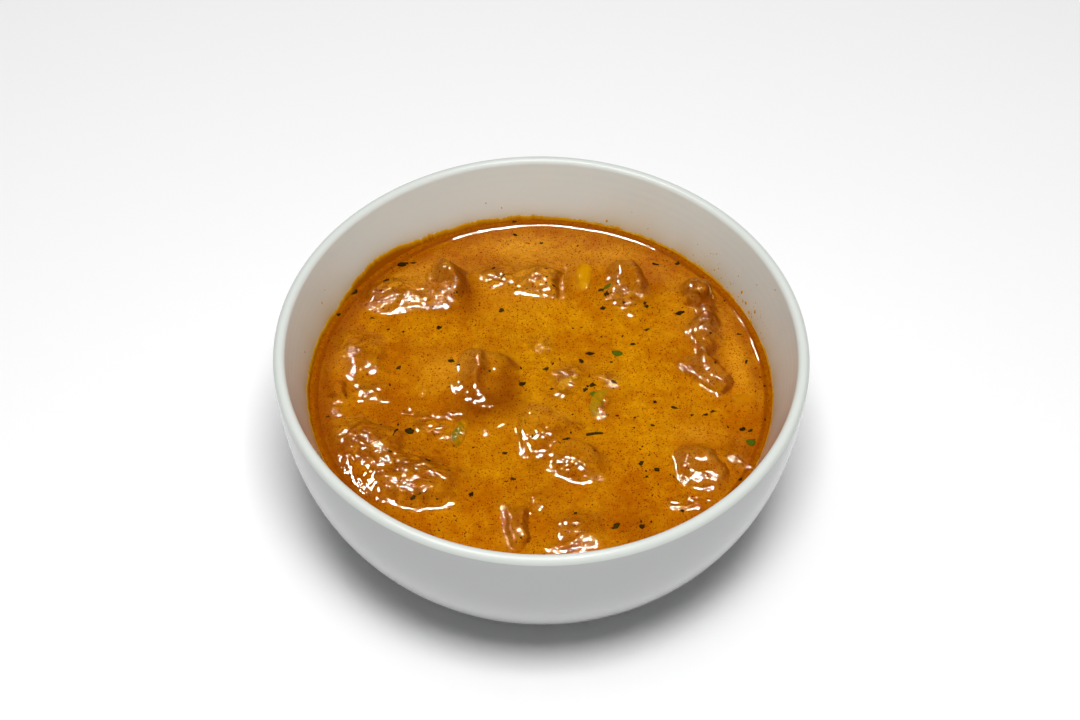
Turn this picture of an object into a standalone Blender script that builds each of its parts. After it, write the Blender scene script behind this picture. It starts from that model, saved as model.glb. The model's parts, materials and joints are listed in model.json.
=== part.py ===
"""A bowl of lamb tikka masala: a thick glazed bowl, its sauce, chunks of lamb, pepper and onion.

Metres, +Z up. The origin is the centre of the foot ring's underside, so the bowl stands on z = 0.
Nothing moves: all pieces rest in the bowl.
"""
import math
import random

import bmesh
import bpy
import numpy as np
from mathutils import Matrix, Vector
from mathutils.bvhtree import BVHTree
from mathutils.geometry import interpolate_bezier

MM = 0.001
GAP = 0.32 * MM                  # clearance between neighbouring pieces
CORNER_ROOM = 1.15               # growth of a cutter in gaps, for its corners reach less far
WELD = 0.01 * MM                 # points closer than this are one point on a turned solid's axis
SHARP_ANGLE = math.radians(35)   # steeper edges of the cut sauce are shaded sharp

# Bowl
STEPS = 56                       # turning steps of the bowl and of the sauce
BOWL_RADIUS = 80 * MM            # widest, level with the centre of the rounded lip
LIP_LEVEL = 67.2 * MM
LIP_ROUND = 1.82 * MM            # half the lip's thickness
WALL_LEAN = math.radians(17.6)   # of the inside wall, from the vertical
OUTER_DROP = 50.9 * MM           # how far the outer wall's curve heads straight down
OUTER_TURN = Vector((52.2, 5.4)) * MM   # where that curve turns in to the foot
FOOT_TOP = Vector((43.2, 3.2)) * MM
FOOT_OUTER = 41.8 * MM
FOOT_INNER = 38.2 * MM
FOOT_EASE = 0.7 * MM             # softened edges of the foot ring
RECESS = 2.6 * MM                # height of the base inside the foot ring
FLOOR_LEVEL = 8.8 * MM           # inside floor
FLOOR_FLAT = 22 * MM             # radius of the level middle of that floor
INNER_DROP = 28 * MM             # how far the inside wall heads on below the sauce line
INNER_TURN = 56 * MM             # radius where the inside curve turns level
INSIDE_POINTS = 7                # of that curve, shared by the bowl and the sauce
OUTSIDE_POINTS = 10
LIP_POINTS = 7

# Sauce
SAUCE_LEVEL = 48.2 * MM
WALL_CLIMB = 1.1 * MM            # the sauce stands this much higher against the wall
CLIMB_REACH = 3.5 * MM
TOP_RINGS = 9                    # rings of the sauce's top between its centre and the wall
CHUNK_SWELL = 0.4                # the sauce swells round a chunk by this share of its height
SWELL_REACH = 0.75               # and spreads over this share of its length and width

# Low swellings of sauce over meat just under the surface:
# place x, y, half length, half width, turn in degrees, height
MOUNDS = (
    (-52, -3, 5, 4, 0, 1.6),
    (59, -24, 5, 6, -30, 1.7),
    (1, -43, 4, 6, 10, 1.6),
    (-9, 44, 9, 8, 20, 1.4),
    (12, 2, 8, 7, 0, 0.9),
    (63, 8, 4, 11, 12, 1.3),
    (-38, 12, 9, 5, -20, 1.2),
    (30, -50, 9, 6, 20, 0.9),
)

# Chunks of lamb in millimetres: place x, y, length, width, turn in degrees, height above the
# sauce, depth below it, squareness, taper of the top, lean of the top in x and y, and cells
# along an edge
LAMB = {
    "lamb_01": (-29.6, 39.2, 13.4, 19.0, 8, 8.6, 11, 2.5, 0.32, (-1.6, 3.4), 5),
    "lamb_02": (-19.2, 1.2, 25.0, 28.0, -12, 7.2, 15, 2.6, 0.26, (2.2, 4.4), 5),
    "lamb_03": (-46.8, 37.0, 16.4, 13.2, 8, 4.2, 8, 2.5, 0.1, (0, 0), 4),
    "lamb_04": (-55.0, 10.6, 13.6, 17.0, 8, 3.6, 9, 2.5, 0.1, (0, 0), 3),
    "lamb_05": (-61.6, -3.2, 5.4, 8.0, 14, 2.6, 4, 2.4, 0.1, (0, 0), 3),
    "lamb_06": (-50.6, -22.4, 19.0, 15.0, -24, 5.0, 9, 2.6, 0.15, (0, 0), 4),
    "lamb_07": (-34.6, -38.2, 25.0, 13.6, -14, 5.0, 10, 2.6, 0.15, (0, 1), 4),
    "lamb_08": (0.0, 42.6, 16.6, 14.6, -10, 5.2, 12, 2.5, 0.2, (0, 1), 4),
    "lamb_09": (26.6, 41.2, 16.4, 22.5, 18, 6.2, 12, 2.5, 0.3, (1, 1.5), 4),
    "lamb_10": (48.4, 37.4, 12.0, 10.8, 15, 6.0, 6, 2.4, 0.2, (0.6, 1), 3),
    "lamb_11": (49.0, 22.2, 13.6, 14.0, -12, 6.0, 9, 2.7, 0.25, (2, 0), 4),
    "lamb_12": (50.4, 4.2, 19.0, 10.4, -34, 5.0, 9, 2.6, 0.25, (1, 1), 4),
    "lamb_13": (47.0, -31.2, 15.8, 20.0, 22, 5.0, 8, 2.4, 0.2, (0, 1), 4),
    "lamb_14": (0.4, -16.6, 15.0, 15.6, -20, 3.8, 11, 2.5, 0.15, (0, 0), 3),
    "lamb_15": (12.4, -28.6, 12.4, 12.0, -35, 4.2, 10, 2.4, 0.15, (0, 0), 3),
    "lamb_16": (-6.4, -52.4, 8.2, 16.0, 10, 4.0, 7, 2.5, 0.2, (0, 0), 3),
    "lamb_17": (11.8, -53.4, 13.0, 12.4, 0, 2.8, 8, 2.4, 0.1, (0, 0), 3),
}
CHUNK_LUMPS = 9                  # waves that make a chunk uneven
LUMP_DEPTH = 0.22                # their share of the chunk's half size
LUMP_WAVE = 3.0                  # how fast they change over the directions, in radians

BIT_CELLS = (6, 2)               # along and across a vegetable piece
BIT_END = 0.8                    # how far its ends narrow
BIT_SIDE = 0.5                   # how far its sides thin

# Vegetable pieces in millimetres: place x, y, length, width, thickness, turn, bend along the
# length and roll about it in degrees, and height of the middle above the sauce
BITS = {
    "green_pepper": ((-23.8, -18.6, 10.6, 4.8, 2.2, 72, 35, 24, 1.0), "green pepper"),
    "yellow_pepper": ((12.6, 44.6, 12.0, 5.4, 2.6, 84, 40, -12, 1.3), "yellow pepper"),
    "pepper_bit": ((61.0, -4.2, 6.0, 4.2, 1.8, 20, 30, 10, 0.6), "yellow pepper"),
    "onion_curl": ((17.2, -5.6, 15.0, 4.2, 1.3, 70, 130, 30, 0.6), "onion"),
    "onion_strip": ((8.4, 1.8, 12.0, 3.4, 1.2, 46, 60, 20, 0.7), "onion"),
    "onion_bit": ((-35.4, -3.4, 5.0, 3.2, 1.4, 76, 30, 8, 0.8), "onion"),
}
STALK_FROM = Vector((13.6, -18.9)) * MM
STALK_TO = Vector((19.0, -17.7)) * MM
STALK_RADIUS = 0.5 * MM
STALK_TAPER = 0.7                # its thin end's share of that radius
STALK_SIDES = 8

# The largest flecks of herb on the sauce: place x, y, length, width, turn
HERBS = (
    (-39.0, -14.6, 3.4, 2.6, 20), (-43.4, -11.6, 4.4, 1.0, 80), (-33.6, -26.6, 2.2, 1.3, -20),
    (-37.6, -47.6, 2.4, 1.2, 25), (-19.6, -42.2, 2.2, 1.6, 60), (-10.6, -27.6, 1.8, 1.2, 0),
    (-7.8, -36.2, 2.2, 1.3, -10), (-31.9, 21.8, 2.0, 1.6, 0), (-12.8, 29.8, 2.3, 1.6, 35),
    (-48.6, 48.0, 2.0, 1.4, 40), (-9.2, 60.4, 1.9, 1.6, 0), (37.4, 53.6, 2.8, 1.4, -15),
    (43.8, 50.6, 2.0, 1.3, 20), (19.4, 25.4, 2.2, 1.7, 0), (36.2, 26.6, 2.6, 2.0, 30),
    (29.6, 19.6, 2.8, 1.0, 5), (23.3, 13.6, 3.4, 2.3, -20), (15.0, 15.0, 2.6, 1.3, 10),
    (11.4, 12.4, 2.2, 1.7, -40), (1.6, 13.2, 2.2, 1.6, 15), (25.6, 2.2, 2.2, 1.3, -30),
    (39.2, -8.0, 3.0, 1.3, -25), (33.6, -3.6, 1.8, 1.4, 50), (50.4, -9.8, 1.9, 1.3, 0),
    (45.2, -12.4, 1.8, 1.5, 30), (59.4, -13.4, 2.6, 2.0, 15), (32.0, -22.6, 2.2, 1.9, 0),
    (32.4, -37.6, 2.3, 2.0, -35), (24.4, -54.6, 2.8, 2.1, 40), (33.6, -52.0, 2.2, 1.9, 0),
    (42.8, -46.6, 1.8, 1.5, 0), (4.0, 22.6, 2.0, 1.4, 70), (-62.2, 26.0, 2.2, 1.5, 60),
    (63.6, 16.6, 2.2, 1.3, 80),
)
HERB_SIDES = 5
HERB_THICK = 0.9 * MM            # half of it stands above the sauce
HERB_TOP = 0.84                  # a fleck's upper side is this share of its under side
HERB_JITTER = 0.22               # unevenness of a fleck's outline
HERB_SEED = 4

COLOURS = {
    "porcelain": (0.56, 0.54, 0.51),
    "sauce": (0.49, 0.18, 0.005),
    "lamb": (0.43, 0.16, 0.012),
    "green pepper": (0.20, 0.19, 0.012),
    "yellow pepper": (0.64, 0.34, 0.012),
    "onion": (0.60, 0.42, 0.14),
    "herb": (0.055, 0.045, 0.008),
}
ROUGHNESS = {
    "porcelain": 0.12,
    "sauce": 0.22,
    "lamb": 0.35,
    "green pepper": 0.25,
    "yellow pepper": 0.25,
    "onion": 0.25,
    "herb": 0.5,
}


def clear_scene():
    for obj in list(bpy.data.objects):
        bpy.data.objects.remove(obj, do_unlink=True)


def new_collection(name):
    collection = bpy.data.collections.new(name)
    bpy.context.scene.collection.children.link(collection)
    return collection


def new_material(name):
    material = bpy.data.materials.new(name)
    material.use_nodes = True
    surface = material.node_tree.nodes["Principled BSDF"]
    surface.inputs["Base Color"].default_value = (*COLOURS[name], 1)
    surface.inputs["Roughness"].default_value = ROUGHNESS[name]
    surface.inputs["Metallic"].default_value = 0
    material.diffuse_color = (*COLOURS[name], 1)
    return material


def add_object(name, mesh, collection, material=None):
    obj = bpy.data.objects.new(name, mesh)
    collection.objects.link(obj)
    if material:
        mesh.materials.append(material)
    return obj


def as_cutter(obj):
    obj.hide_render = True
    obj.display_type = "WIRE"


def applied(obj):
    """Replace an object's mesh with its evaluated one and drop its modifiers."""
    depsgraph = bpy.context.evaluated_depsgraph_get()
    mesh = bpy.data.meshes.new_from_object(obj.evaluated_get(depsgraph))
    obj.modifiers.clear()
    obj.data = mesh


# Turned sections, as lists of (radius, height)

def curve(start, pull, turn, end, count):
    """Points of one Bezier arc, both ends included."""
    flat = [Vector((p[0], p[1], 0)) for p in (start, pull, turn, end)]
    return [Vector((p.x, p.y)) for p in interpolate_bezier(*flat, count)]


def sauce_line():
    """The point of the inside wall where the sauce's surface meets it."""
    tangent = lip_arc(2)[0]
    down = (tangent.y - SAUCE_LEVEL) * math.tan(WALL_LEAN)
    return Vector((tangent.x - down, SAUCE_LEVEL))


def lip_arc(count):
    """The rounded lip, from the inside wall over the crest to the widest radius."""
    centre = Vector((BOWL_RADIUS - LIP_ROUND, LIP_LEVEL))
    points = []
    for i in range(count):
        angle = (math.pi - WALL_LEAN) * (1 - i / (count - 1))
        points.append(centre + LIP_ROUND * Vector((math.cos(angle), math.sin(angle))))
    return points


def inside_curve(count):
    """The inside wall below the sauce line, down to the level middle of the floor."""
    start = sauce_line()
    pull = start - INNER_DROP * Vector((math.sin(WALL_LEAN), math.cos(WALL_LEAN)))
    turn = Vector((INNER_TURN, FLOOR_LEVEL))
    return curve(start, pull, turn, Vector((FLOOR_FLAT, FLOOR_LEVEL)), count)


def bowl_section():
    inside = inside_curve(INSIDE_POINTS)
    inside.reverse()
    pull = Vector((BOWL_RADIUS, LIP_LEVEL - OUTER_DROP))
    outside = curve(Vector((BOWL_RADIUS, LIP_LEVEL)), pull, OUTER_TURN, FOOT_TOP, OUTSIDE_POINTS)
    foot = [
        Vector((FOOT_OUTER + FOOT_EASE, FOOT_EASE)),
        Vector((FOOT_OUTER, 0)),
        Vector((FOOT_INNER, 0)),
        Vector((FOOT_INNER - FOOT_EASE, FOOT_EASE)),
        Vector((FOOT_INNER - 2 * FOOT_EASE, RECESS)),
    ]
    centre = [Vector((0, FLOOR_LEVEL))]
    return centre + inside + lip_arc(LIP_POINTS) + outside[1:] + foot + [Vector((0, RECESS))]


def climb(inwards):
    """How far the sauce stands up at a distance inwards from the wall."""
    return WALL_CLIMB * math.exp(-inwards / CLIMB_REACH)


def sauce_section():
    """The sauce's body: its top from the centre outwards, then down just inside the wall."""
    wall = inside_curve(INSIDE_POINTS)
    under = []
    for i, point in enumerate(wall):
        after = wall[min(i + 1, len(wall) - 1)]
        before = wall[max(i - 1, 0)]
        along = (after - before).normalized()
        under.append(point + GAP * Vector((along.y, -along.x)))
    under[-1] = Vector((FLOOR_FLAT, FLOOR_LEVEL + GAP))
    edge = under[0] + WALL_CLIMB * Vector((math.tan(WALL_LEAN), 1))
    top = []
    for i in range(TOP_RINGS):
        radius = edge.x * i / TOP_RINGS
        top.append(Vector((radius, SAUCE_LEVEL + climb(edge.x - radius))))
    near = edge - Vector((CLIMB_REACH / 2, WALL_CLIMB - climb(CLIMB_REACH / 2)))
    return top + [near, edge] + under + [Vector((0, FLOOR_LEVEL + GAP))]


def finished_mesh(name, shape):
    """A smooth mesh of the shape, all triangles, so that a copy of it bends the same way."""
    bmesh.ops.triangulate(shape, faces=shape.faces[:])
    mesh = bpy.data.meshes.new(name)
    shape.to_mesh(mesh)
    shape.free()
    mesh.shade_smooth()
    return mesh


def turned(name, section, collection, material):
    """A solid of revolution: the section, which runs down its outer side, with a Screw."""
    mesh = bpy.data.meshes.new(name)
    points = [(p.x, 0, p.y) for p in section]
    mesh.from_pydata(points, [(i, i + 1) for i in range(len(points) - 1)], [])
    obj = add_object(name, mesh, collection, material)
    screw = obj.modifiers.new("turn", "SCREW")
    screw.steps = STEPS
    screw.render_steps = STEPS
    screw.use_merge_vertices = True
    screw.merge_threshold = WELD
    screw.use_smooth_shade = True
    return obj


# Relief of the sauce

def hump(x, y, place, half_length, half_width, turn):
    """1 at the middle of an oval place and falling smoothly to 0 outside it."""
    dx = x - place[0]
    dy = y - place[1]
    along = (dx * math.cos(turn) + dy * math.sin(turn)) / half_length
    across = (dy * math.cos(turn) - dx * math.sin(turn)) / half_width
    return math.exp(-(along ** 2 + across ** 2))


def relief(x, y):
    """Height of the sauce's surface over its level at a place, without the climb at the wall."""
    height = 0
    for mx, my, half_length, half_width, turn, rise in MOUNDS:
        size = (half_length * MM, half_width * MM)
        height += rise * MM * hump(x, y, (mx * MM, my * MM), *size, math.radians(turn))
    for cx, cy, length, width, turn, rise, *_ in LAMB.values():
        size = (SWELL_REACH * length * MM, SWELL_REACH * width * MM)
        swell = CHUNK_SWELL * rise * MM
        height += swell * hump(x, y, (cx * MM, cy * MM), *size, math.radians(turn))
    return height


def make_sauce(collection, material):
    sauce = turned("sauce", sauce_section(), collection, material)
    applied(sauce)
    edge = sauce_line().x
    for vertex in sauce.data.vertices:
        x, y, z = vertex.co
        inwards = edge - math.hypot(x, y)
        if z > SAUCE_LEVEL - GAP and inwards > CLIMB_REACH:
            vertex.co.z += relief(x, y)
    return sauce


# Chunks of lamb

def lumps(directions, seed):
    """Seeded sum of soft waves over the directions, from about -1 to 1."""
    rng = np.random.default_rng(seed)
    waves = rng.normal(size=(CHUNK_LUMPS, 3)) * LUMP_WAVE / math.sqrt(3)
    phases = rng.uniform(0, 2 * math.pi, CHUNK_LUMPS)
    return np.cos(directions @ waves.T + phases).mean(axis=1) * 2


def chunk_mesh(name, row, seed):
    """A squarish blob: a cut-up cube pushed out to a superellipsoid with seeded lumps."""
    x, y, length, width, turn, rise, depth, squareness, taper, lean, cells = row
    shape = bmesh.new()
    bmesh.ops.create_cube(shape, size=2)
    bmesh.ops.subdivide_edges(shape, edges=shape.edges[:], cuts=cells - 1, use_grid_fill=True)
    cube = np.array([v.co for v in shape.verts])
    rounded = np.tan(cube * math.pi / 4)
    directions = rounded / np.linalg.norm(rounded, axis=1, keepdims=True)
    reach = (np.abs(directions) ** squareness).sum(axis=1) ** (-1 / squareness)
    reach *= 1 + LUMP_DEPTH * lumps(directions, seed)
    half = np.array((length / 2, width / 2, (rise + depth) / 2))
    points = directions * reach[:, None]
    upright = points[:, 2]
    upright /= np.where(upright > 0, upright.max(), -upright.min())
    points[:, :2] *= 1 - taper * np.maximum(upright, 0)[:, None]
    points *= half
    points[:, :2] += upright[:, None] / half[2] * np.array(lean)
    middle = Vector((x, y, (rise - depth) / 2)) * MM + Vector((0, 0, SAUCE_LEVEL))
    frame = Matrix.Translation(middle) @ Matrix.Rotation(math.radians(turn), 4, "Z")
    frame = frame @ Matrix.Scale(MM, 4)
    for vertex, point in zip(shape.verts, points):
        vertex.co = frame @ Vector(point)
    return finished_mesh(name, shape)


# Vegetable pieces

def bit_mesh(name, row):
    """A soft-edged slab bent into an arc along its length, rolled and laid in the sauce."""
    x, y, length, width, thick, turn, bend, roll, rise = row
    shape = bmesh.new()
    bmesh.ops.create_cube(shape, size=2)
    for axis, cells in enumerate(BIT_CELLS):
        spans = [e for e in shape.edges if abs(e.verts[0].co[axis] - e.verts[1].co[axis]) > 1]
        bmesh.ops.subdivide_edges(shape, edges=spans, cuts=cells - 1, use_grid_fill=True)
    arc = math.radians(bend)
    radius = length / arc
    lift = Vector((x, y, rise)) * MM + SAUCE_LEVEL * Vector((0, 0, 1))
    frame = Matrix.Translation(lift) @ Matrix.Rotation(math.radians(turn), 4, "Z")
    frame = frame @ Matrix.Rotation(math.radians(roll), 4, "X") @ Matrix.Scale(MM, 4)
    for vertex in shape.verts:
        along, across, up = vertex.co
        end = math.sqrt(1 - BIT_END * along ** 4)
        side = 1 - BIT_SIDE * across ** 2
        angle = along / 2 * arc
        from_centre = radius + across * end * width / 2
        bowed = from_centre * math.cos(angle) - radius
        point = Vector((from_centre * math.sin(angle), bowed, up * side * end * thick / 2))
        vertex.co = frame @ point
    return finished_mesh(name, shape)


def stalk_mesh(name):
    """A short slightly tapered stick lying on the sauce."""
    start = STALK_FROM.to_3d()
    end = STALK_TO.to_3d()
    lift = (SAUCE_LEVEL + relief(*start.xy) + STALK_RADIUS / 2) * Vector((0, 0, 1))
    shape = bmesh.new()
    length = (end - start).length
    bmesh.ops.create_cone(shape, cap_ends=True, segments=STALK_SIDES, radius1=STALK_RADIUS,
                          radius2=STALK_TAPER * STALK_RADIUS, depth=length)
    turn = (end - start).to_track_quat("Z", "Y").to_matrix().to_4x4()
    shape.transform(Matrix.Translation((start + end) / 2 + lift) @ turn)
    return finished_mesh(name, shape)


def cut_round(sauce, pieces, cutters):
    """Cut the sauce round every piece, by a copy of it that is fatter by the gap."""
    for piece in pieces:
        fat = bmesh.new()
        fat.from_mesh(piece.data)
        fat.normal_update()
        grown = [v.co + v.normal * GAP * CORNER_ROOM for v in fat.verts]
        for vertex, place in zip(fat.verts, grown):
            vertex.co = place
        mesh = bpy.data.meshes.new("room for " + piece.name)
        fat.to_mesh(mesh)
        fat.free()
        as_cutter(add_object(mesh.name, mesh, cutters))
    cut = sauce.modifiers.new("room for the pieces", "BOOLEAN")
    cut.operation = "DIFFERENCE"
    cut.operand_type = "COLLECTION"
    cut.collection = cutters
    applied(sauce)


def sprinkle(sauce, flecks):
    """Fuse the flecks of herb to the sauce, each half sunk in it."""
    body = bmesh.new()
    body.from_mesh(sauce.data)
    bmesh.ops.triangulate(body, faces=body.faces[:])
    body.to_mesh(sauce.data)
    tree = BVHTree.FromBMesh(body)
    random.seed(HERB_SEED)
    for number, (x, y, length, width, turn) in enumerate(HERBS):
        above = Vector((x, y, 0)) * MM + Vector((0, 0, LIP_LEVEL))
        spot, normal, _, _ = tree.ray_cast(above, Vector((0, 0, -1)))
        fleck = bmesh.new()
        bmesh.ops.create_cone(fleck, cap_ends=True, segments=HERB_SIDES, radius1=1 / 2,
                              radius2=HERB_TOP / 2, depth=1)
        jitter = [1 + random.uniform(-HERB_JITTER, HERB_JITTER) for _ in range(HERB_SIDES)]
        for vertex in fleck.verts:
            corner = round(math.atan2(vertex.co.y, vertex.co.x) / (2 * math.pi) * HERB_SIDES)
            uneven = jitter[corner % HERB_SIDES]
            vertex.co.x *= length * MM * uneven
            vertex.co.y *= width * MM * uneven
            vertex.co.z *= HERB_THICK
        lay = normal.to_track_quat("Z", "Y").to_matrix().to_4x4()
        spin = Matrix.Rotation(math.radians(turn), 4, "Z")
        fleck.transform(Matrix.Translation(spot) @ lay @ spin)
        mesh = bpy.data.meshes.new(f"fleck_{number:02d}")
        fleck.to_mesh(mesh)
        fleck.free()
        as_cutter(add_object(mesh.name, mesh, flecks))
    body.free()
    join = sauce.modifiers.new("herbs", "BOOLEAN")
    join.operation = "UNION"
    join.solver = "MANIFOLD"     # the exact one leaves doubled edges beside the cuts
    join.operand_type = "COLLECTION"
    join.collection = flecks
    applied(sauce)
    for fleck in list(flecks.objects):
        bpy.data.objects.remove(fleck, do_unlink=True)


def main():
    clear_scene()
    dish = new_collection("lamb tikka masala")
    cutters = new_collection("cutters")
    flecks = new_collection("flecks")
    materials = {name: new_material(name) for name in COLOURS}

    turned("bowl", bowl_section(), dish, materials["porcelain"])
    sauce = make_sauce(dish, materials["sauce"])

    pieces = []
    for seed, (name, row) in enumerate(LAMB.items()):
        pieces.append(add_object(name, chunk_mesh(name, row, seed), dish, materials["lamb"]))
    for name, (row, finish) in BITS.items():
        pieces.append(add_object(name, bit_mesh(name, row), dish, materials[finish]))
    stalk = add_object("herb_stalk", stalk_mesh("herb_stalk"), dish, materials["herb"])
    pieces.append(stalk)

    cut_round(sauce, pieces, cutters)
    sprinkle(sauce, flecks)
    sauce.data.set_sharp_from_angle(angle=SHARP_ANGLE)


main()
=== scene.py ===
import json
import math

import bpy
import numpy as np
from mathutils import Matrix, Vector

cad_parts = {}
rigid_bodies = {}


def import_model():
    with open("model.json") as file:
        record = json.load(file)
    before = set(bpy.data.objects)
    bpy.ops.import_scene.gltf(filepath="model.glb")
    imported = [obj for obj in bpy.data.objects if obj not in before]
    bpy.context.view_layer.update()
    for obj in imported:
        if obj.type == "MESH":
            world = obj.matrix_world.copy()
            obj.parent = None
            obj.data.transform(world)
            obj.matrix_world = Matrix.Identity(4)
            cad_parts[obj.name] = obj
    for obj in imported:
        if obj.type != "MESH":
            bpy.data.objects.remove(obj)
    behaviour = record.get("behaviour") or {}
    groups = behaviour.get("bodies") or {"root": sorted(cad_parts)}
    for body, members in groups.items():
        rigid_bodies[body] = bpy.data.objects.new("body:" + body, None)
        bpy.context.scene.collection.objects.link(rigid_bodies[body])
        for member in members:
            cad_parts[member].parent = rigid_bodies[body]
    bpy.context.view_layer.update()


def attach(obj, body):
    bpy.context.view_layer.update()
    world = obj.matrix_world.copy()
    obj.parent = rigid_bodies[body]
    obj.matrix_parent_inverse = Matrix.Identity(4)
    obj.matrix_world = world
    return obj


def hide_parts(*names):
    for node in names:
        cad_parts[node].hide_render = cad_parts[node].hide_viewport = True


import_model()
scene = bpy.context.scene
mm = 0.001

# Lamb tikka masala in its bowl. Shapes are worked out in millimetres as whole numpy arrays and
# scaled to metres when they become meshes. Every piece keeps its origin at the world origin.


def ease(t):
    # 0 below 0, 1 above 1, and a smooth S between them
    t = np.clip(t, 0, 1)
    return t * t * (3 - 2 * t)


def ramp(value, low, high):
    # 0 up to low, 1 from high on, eased between them; low may be the larger
    return ease((value - low) / (high - low))


lattice = 64        # the noises repeat after this many cells


def softNoise(x, y, cell, seed):
    # gradient noise, about -1 to 1: a seeded slope at each corner of a square lattice, blended from the
    # four nearest
    angle = np.random.default_rng(seed).uniform(0, 2 * np.pi, (lattice, lattice))
    u, v = np.broadcast_arrays(np.asarray(x) / cell, np.asarray(y) / cell)
    i, j = np.floor(u).astype(int), np.floor(v).astype(int)
    total = np.zeros(u.shape)
    for di in (0, 1):
        for dj in (0, 1):
            du, dv = u - i - di, v - j - dj
            slope = angle[(i + di) % lattice, (j + dj) % lattice]
            total += ease(1 - np.abs(du)) * ease(1 - np.abs(dv)) * (np.cos(slope) * du + np.sin(slope) * dv)
    return 1.5 * total


def ringNoise(turn, waves, seed):
    # soft noise that joins up round the circle, with about that many waves
    return softNoise(np.cos(turn) * waves / 2, np.sin(turn) * waves / 2, 1, seed)


def pebbles(x, y, cell, seed):
    # one seeded centre in each lattice cell: 1 at a centre, falling to 0 with the square of the distance
    spots = np.random.default_rng(seed).uniform(0, 1, (lattice, lattice, 2))
    u, v = np.asarray(x) / cell, np.asarray(y) / cell
    i, j = np.floor(u).astype(int), np.floor(v).astype(int)
    nearest = np.full(np.shape(u), 9.0)
    for di in (-1, 0, 1):
        for dj in (-1, 0, 1):
            spot = spots[(i + di) % lattice, (j + dj) % lattice]
            distance = (u - i - di - spot[..., 0]) ** 2 + (v - j - dj - spot[..., 1]) ** 2
            nearest = np.minimum(nearest, distance)
    return np.clip(1 - nearest / 0.5, 0, 1)


def creases(x, y, cell, seed):
    # sharp winding crests, 1 on the lines where soft noise crosses zero, at places that slower noise
    # has pulled about
    wx = x + 0.6 * cell * softNoise(x, y, 1.7 * cell, seed + 1)
    wy = y + 0.6 * cell * softNoise(x, y, 1.7 * cell, seed + 2)
    return 1 - np.minimum(1, 2.2 * np.abs(softNoise(wx, wy, cell, seed)))


def oval(x, y, row):
    # a bell curve over an oval place; the row starts with x, y, half length, half width and turn in degrees
    turn = math.radians(row[4])
    dx, dy = x - row[0], y - row[1]
    along = (dx * math.cos(turn) + dy * math.sin(turn)) / row[2]
    across = (dy * math.cos(turn) - dx * math.sin(turn)) / row[3]
    return np.exp(-(along ** 2 + across ** 2))


def stroke(x, y, row):
    # 1 on the line from x0, y0 to x1, y1, falling as a bell curve of the given width beside it
    x0, y0, x1, y1, width = row[:5]
    length = math.hypot(x1 - x0, y1 - y0)
    ux, uy = (x1 - x0) / length, (y1 - y0) / length
    along = np.clip((x - x0) * ux + (y - y0) * uy, 0, length)
    return np.exp(-((x - x0 - along * ux) ** 2 + (y - y0 - along * uy) ** 2) / width ** 2)


def summed(shape, rows, x, y):
    # the sum of ovals or strokes, each times the last number of its row
    return sum(row[-1] * shape(x, y, row) for row in rows)


def bezier(start, pull, turn, end, count):
    # the points of one cubic arc from start to end, as rows of radius and height
    t = np.linspace(0, 1, count)[:, None]
    start, pull, turn, end = (np.array(p, float) for p in (start, pull, turn, end))
    return (1 - t) ** 3 * start + 3 * t * (1 - t) ** 2 * pull + 3 * t ** 2 * (1 - t) * turn + t ** 3 * end


def aroundAxis(radius, turn, height):
    # points at a radius, in a direction and at a height: r cos t, r sin t, h
    return np.stack(np.broadcast_arrays(radius * np.cos(turn), radius * np.sin(turn), height), -1)


def gridFaces(rows, columns, closedRows=False, closedColumns=True):
    # quads between neighbouring lines of a grid numbered row by row; a closed direction joins its last
    # line to its first
    r = np.arange(rows if closedRows else rows - 1)[:, None]
    c = np.arange(columns if closedColumns else columns - 1)[None, :]
    nextRow, nextColumn = (r + 1) % rows, (c + 1) % columns
    corners = (r * columns + c, r * columns + nextColumn,
               nextRow * columns + nextColumn, nextRow * columns + c)
    return np.stack([np.broadcast_to(k, corners[0].shape) for k in corners], -1).reshape(-1, 4)


def fanFaces(pole, ring):
    # triangles from one point to a closed ring of points
    return np.stack([np.full(len(ring), pole), ring, np.roll(ring, -1)], -1)


def tubeFaces(rows, columns):
    # a grid closed round its columns, whose first and last rows are closed by the two points that follow it
    ring, pole = np.arange(columns), rows * columns
    first, last = fanFaces(pole, ring)[:, ::-1], fanFaces(pole + 1, ring + pole - columns)
    return [gridFaces(rows, columns), first, last]


def domeFaces(count, rings, sides):
    # many small domes, each of some rings of points from its edge inwards, then its top and its root
    each, edge = rings * sides + 2, np.arange(sides)
    start = (np.arange(count) * each)[:, None, None]
    fans = np.concatenate([fanFaces(each - 2, edge + (rings - 1) * sides), fanFaces(each - 1, edge)[:, ::-1]])
    return [(fans + start).reshape(-1, 3), (gridFaces(rings, sides) + start).reshape(-1, 4)]


def volumeOf(points, faces):
    # signed volume of a closed shape, from the corners of its triangles
    triangles = np.concatenate([f[:, [0, k, k + 1]] for f in faces for k in range(1, f.shape[1] - 1)])
    a, b, c = (points[triangles[:, k]] for k in range(3))
    return np.einsum("ij,ij->i", a, np.cross(b, c)).sum() / 6


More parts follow.
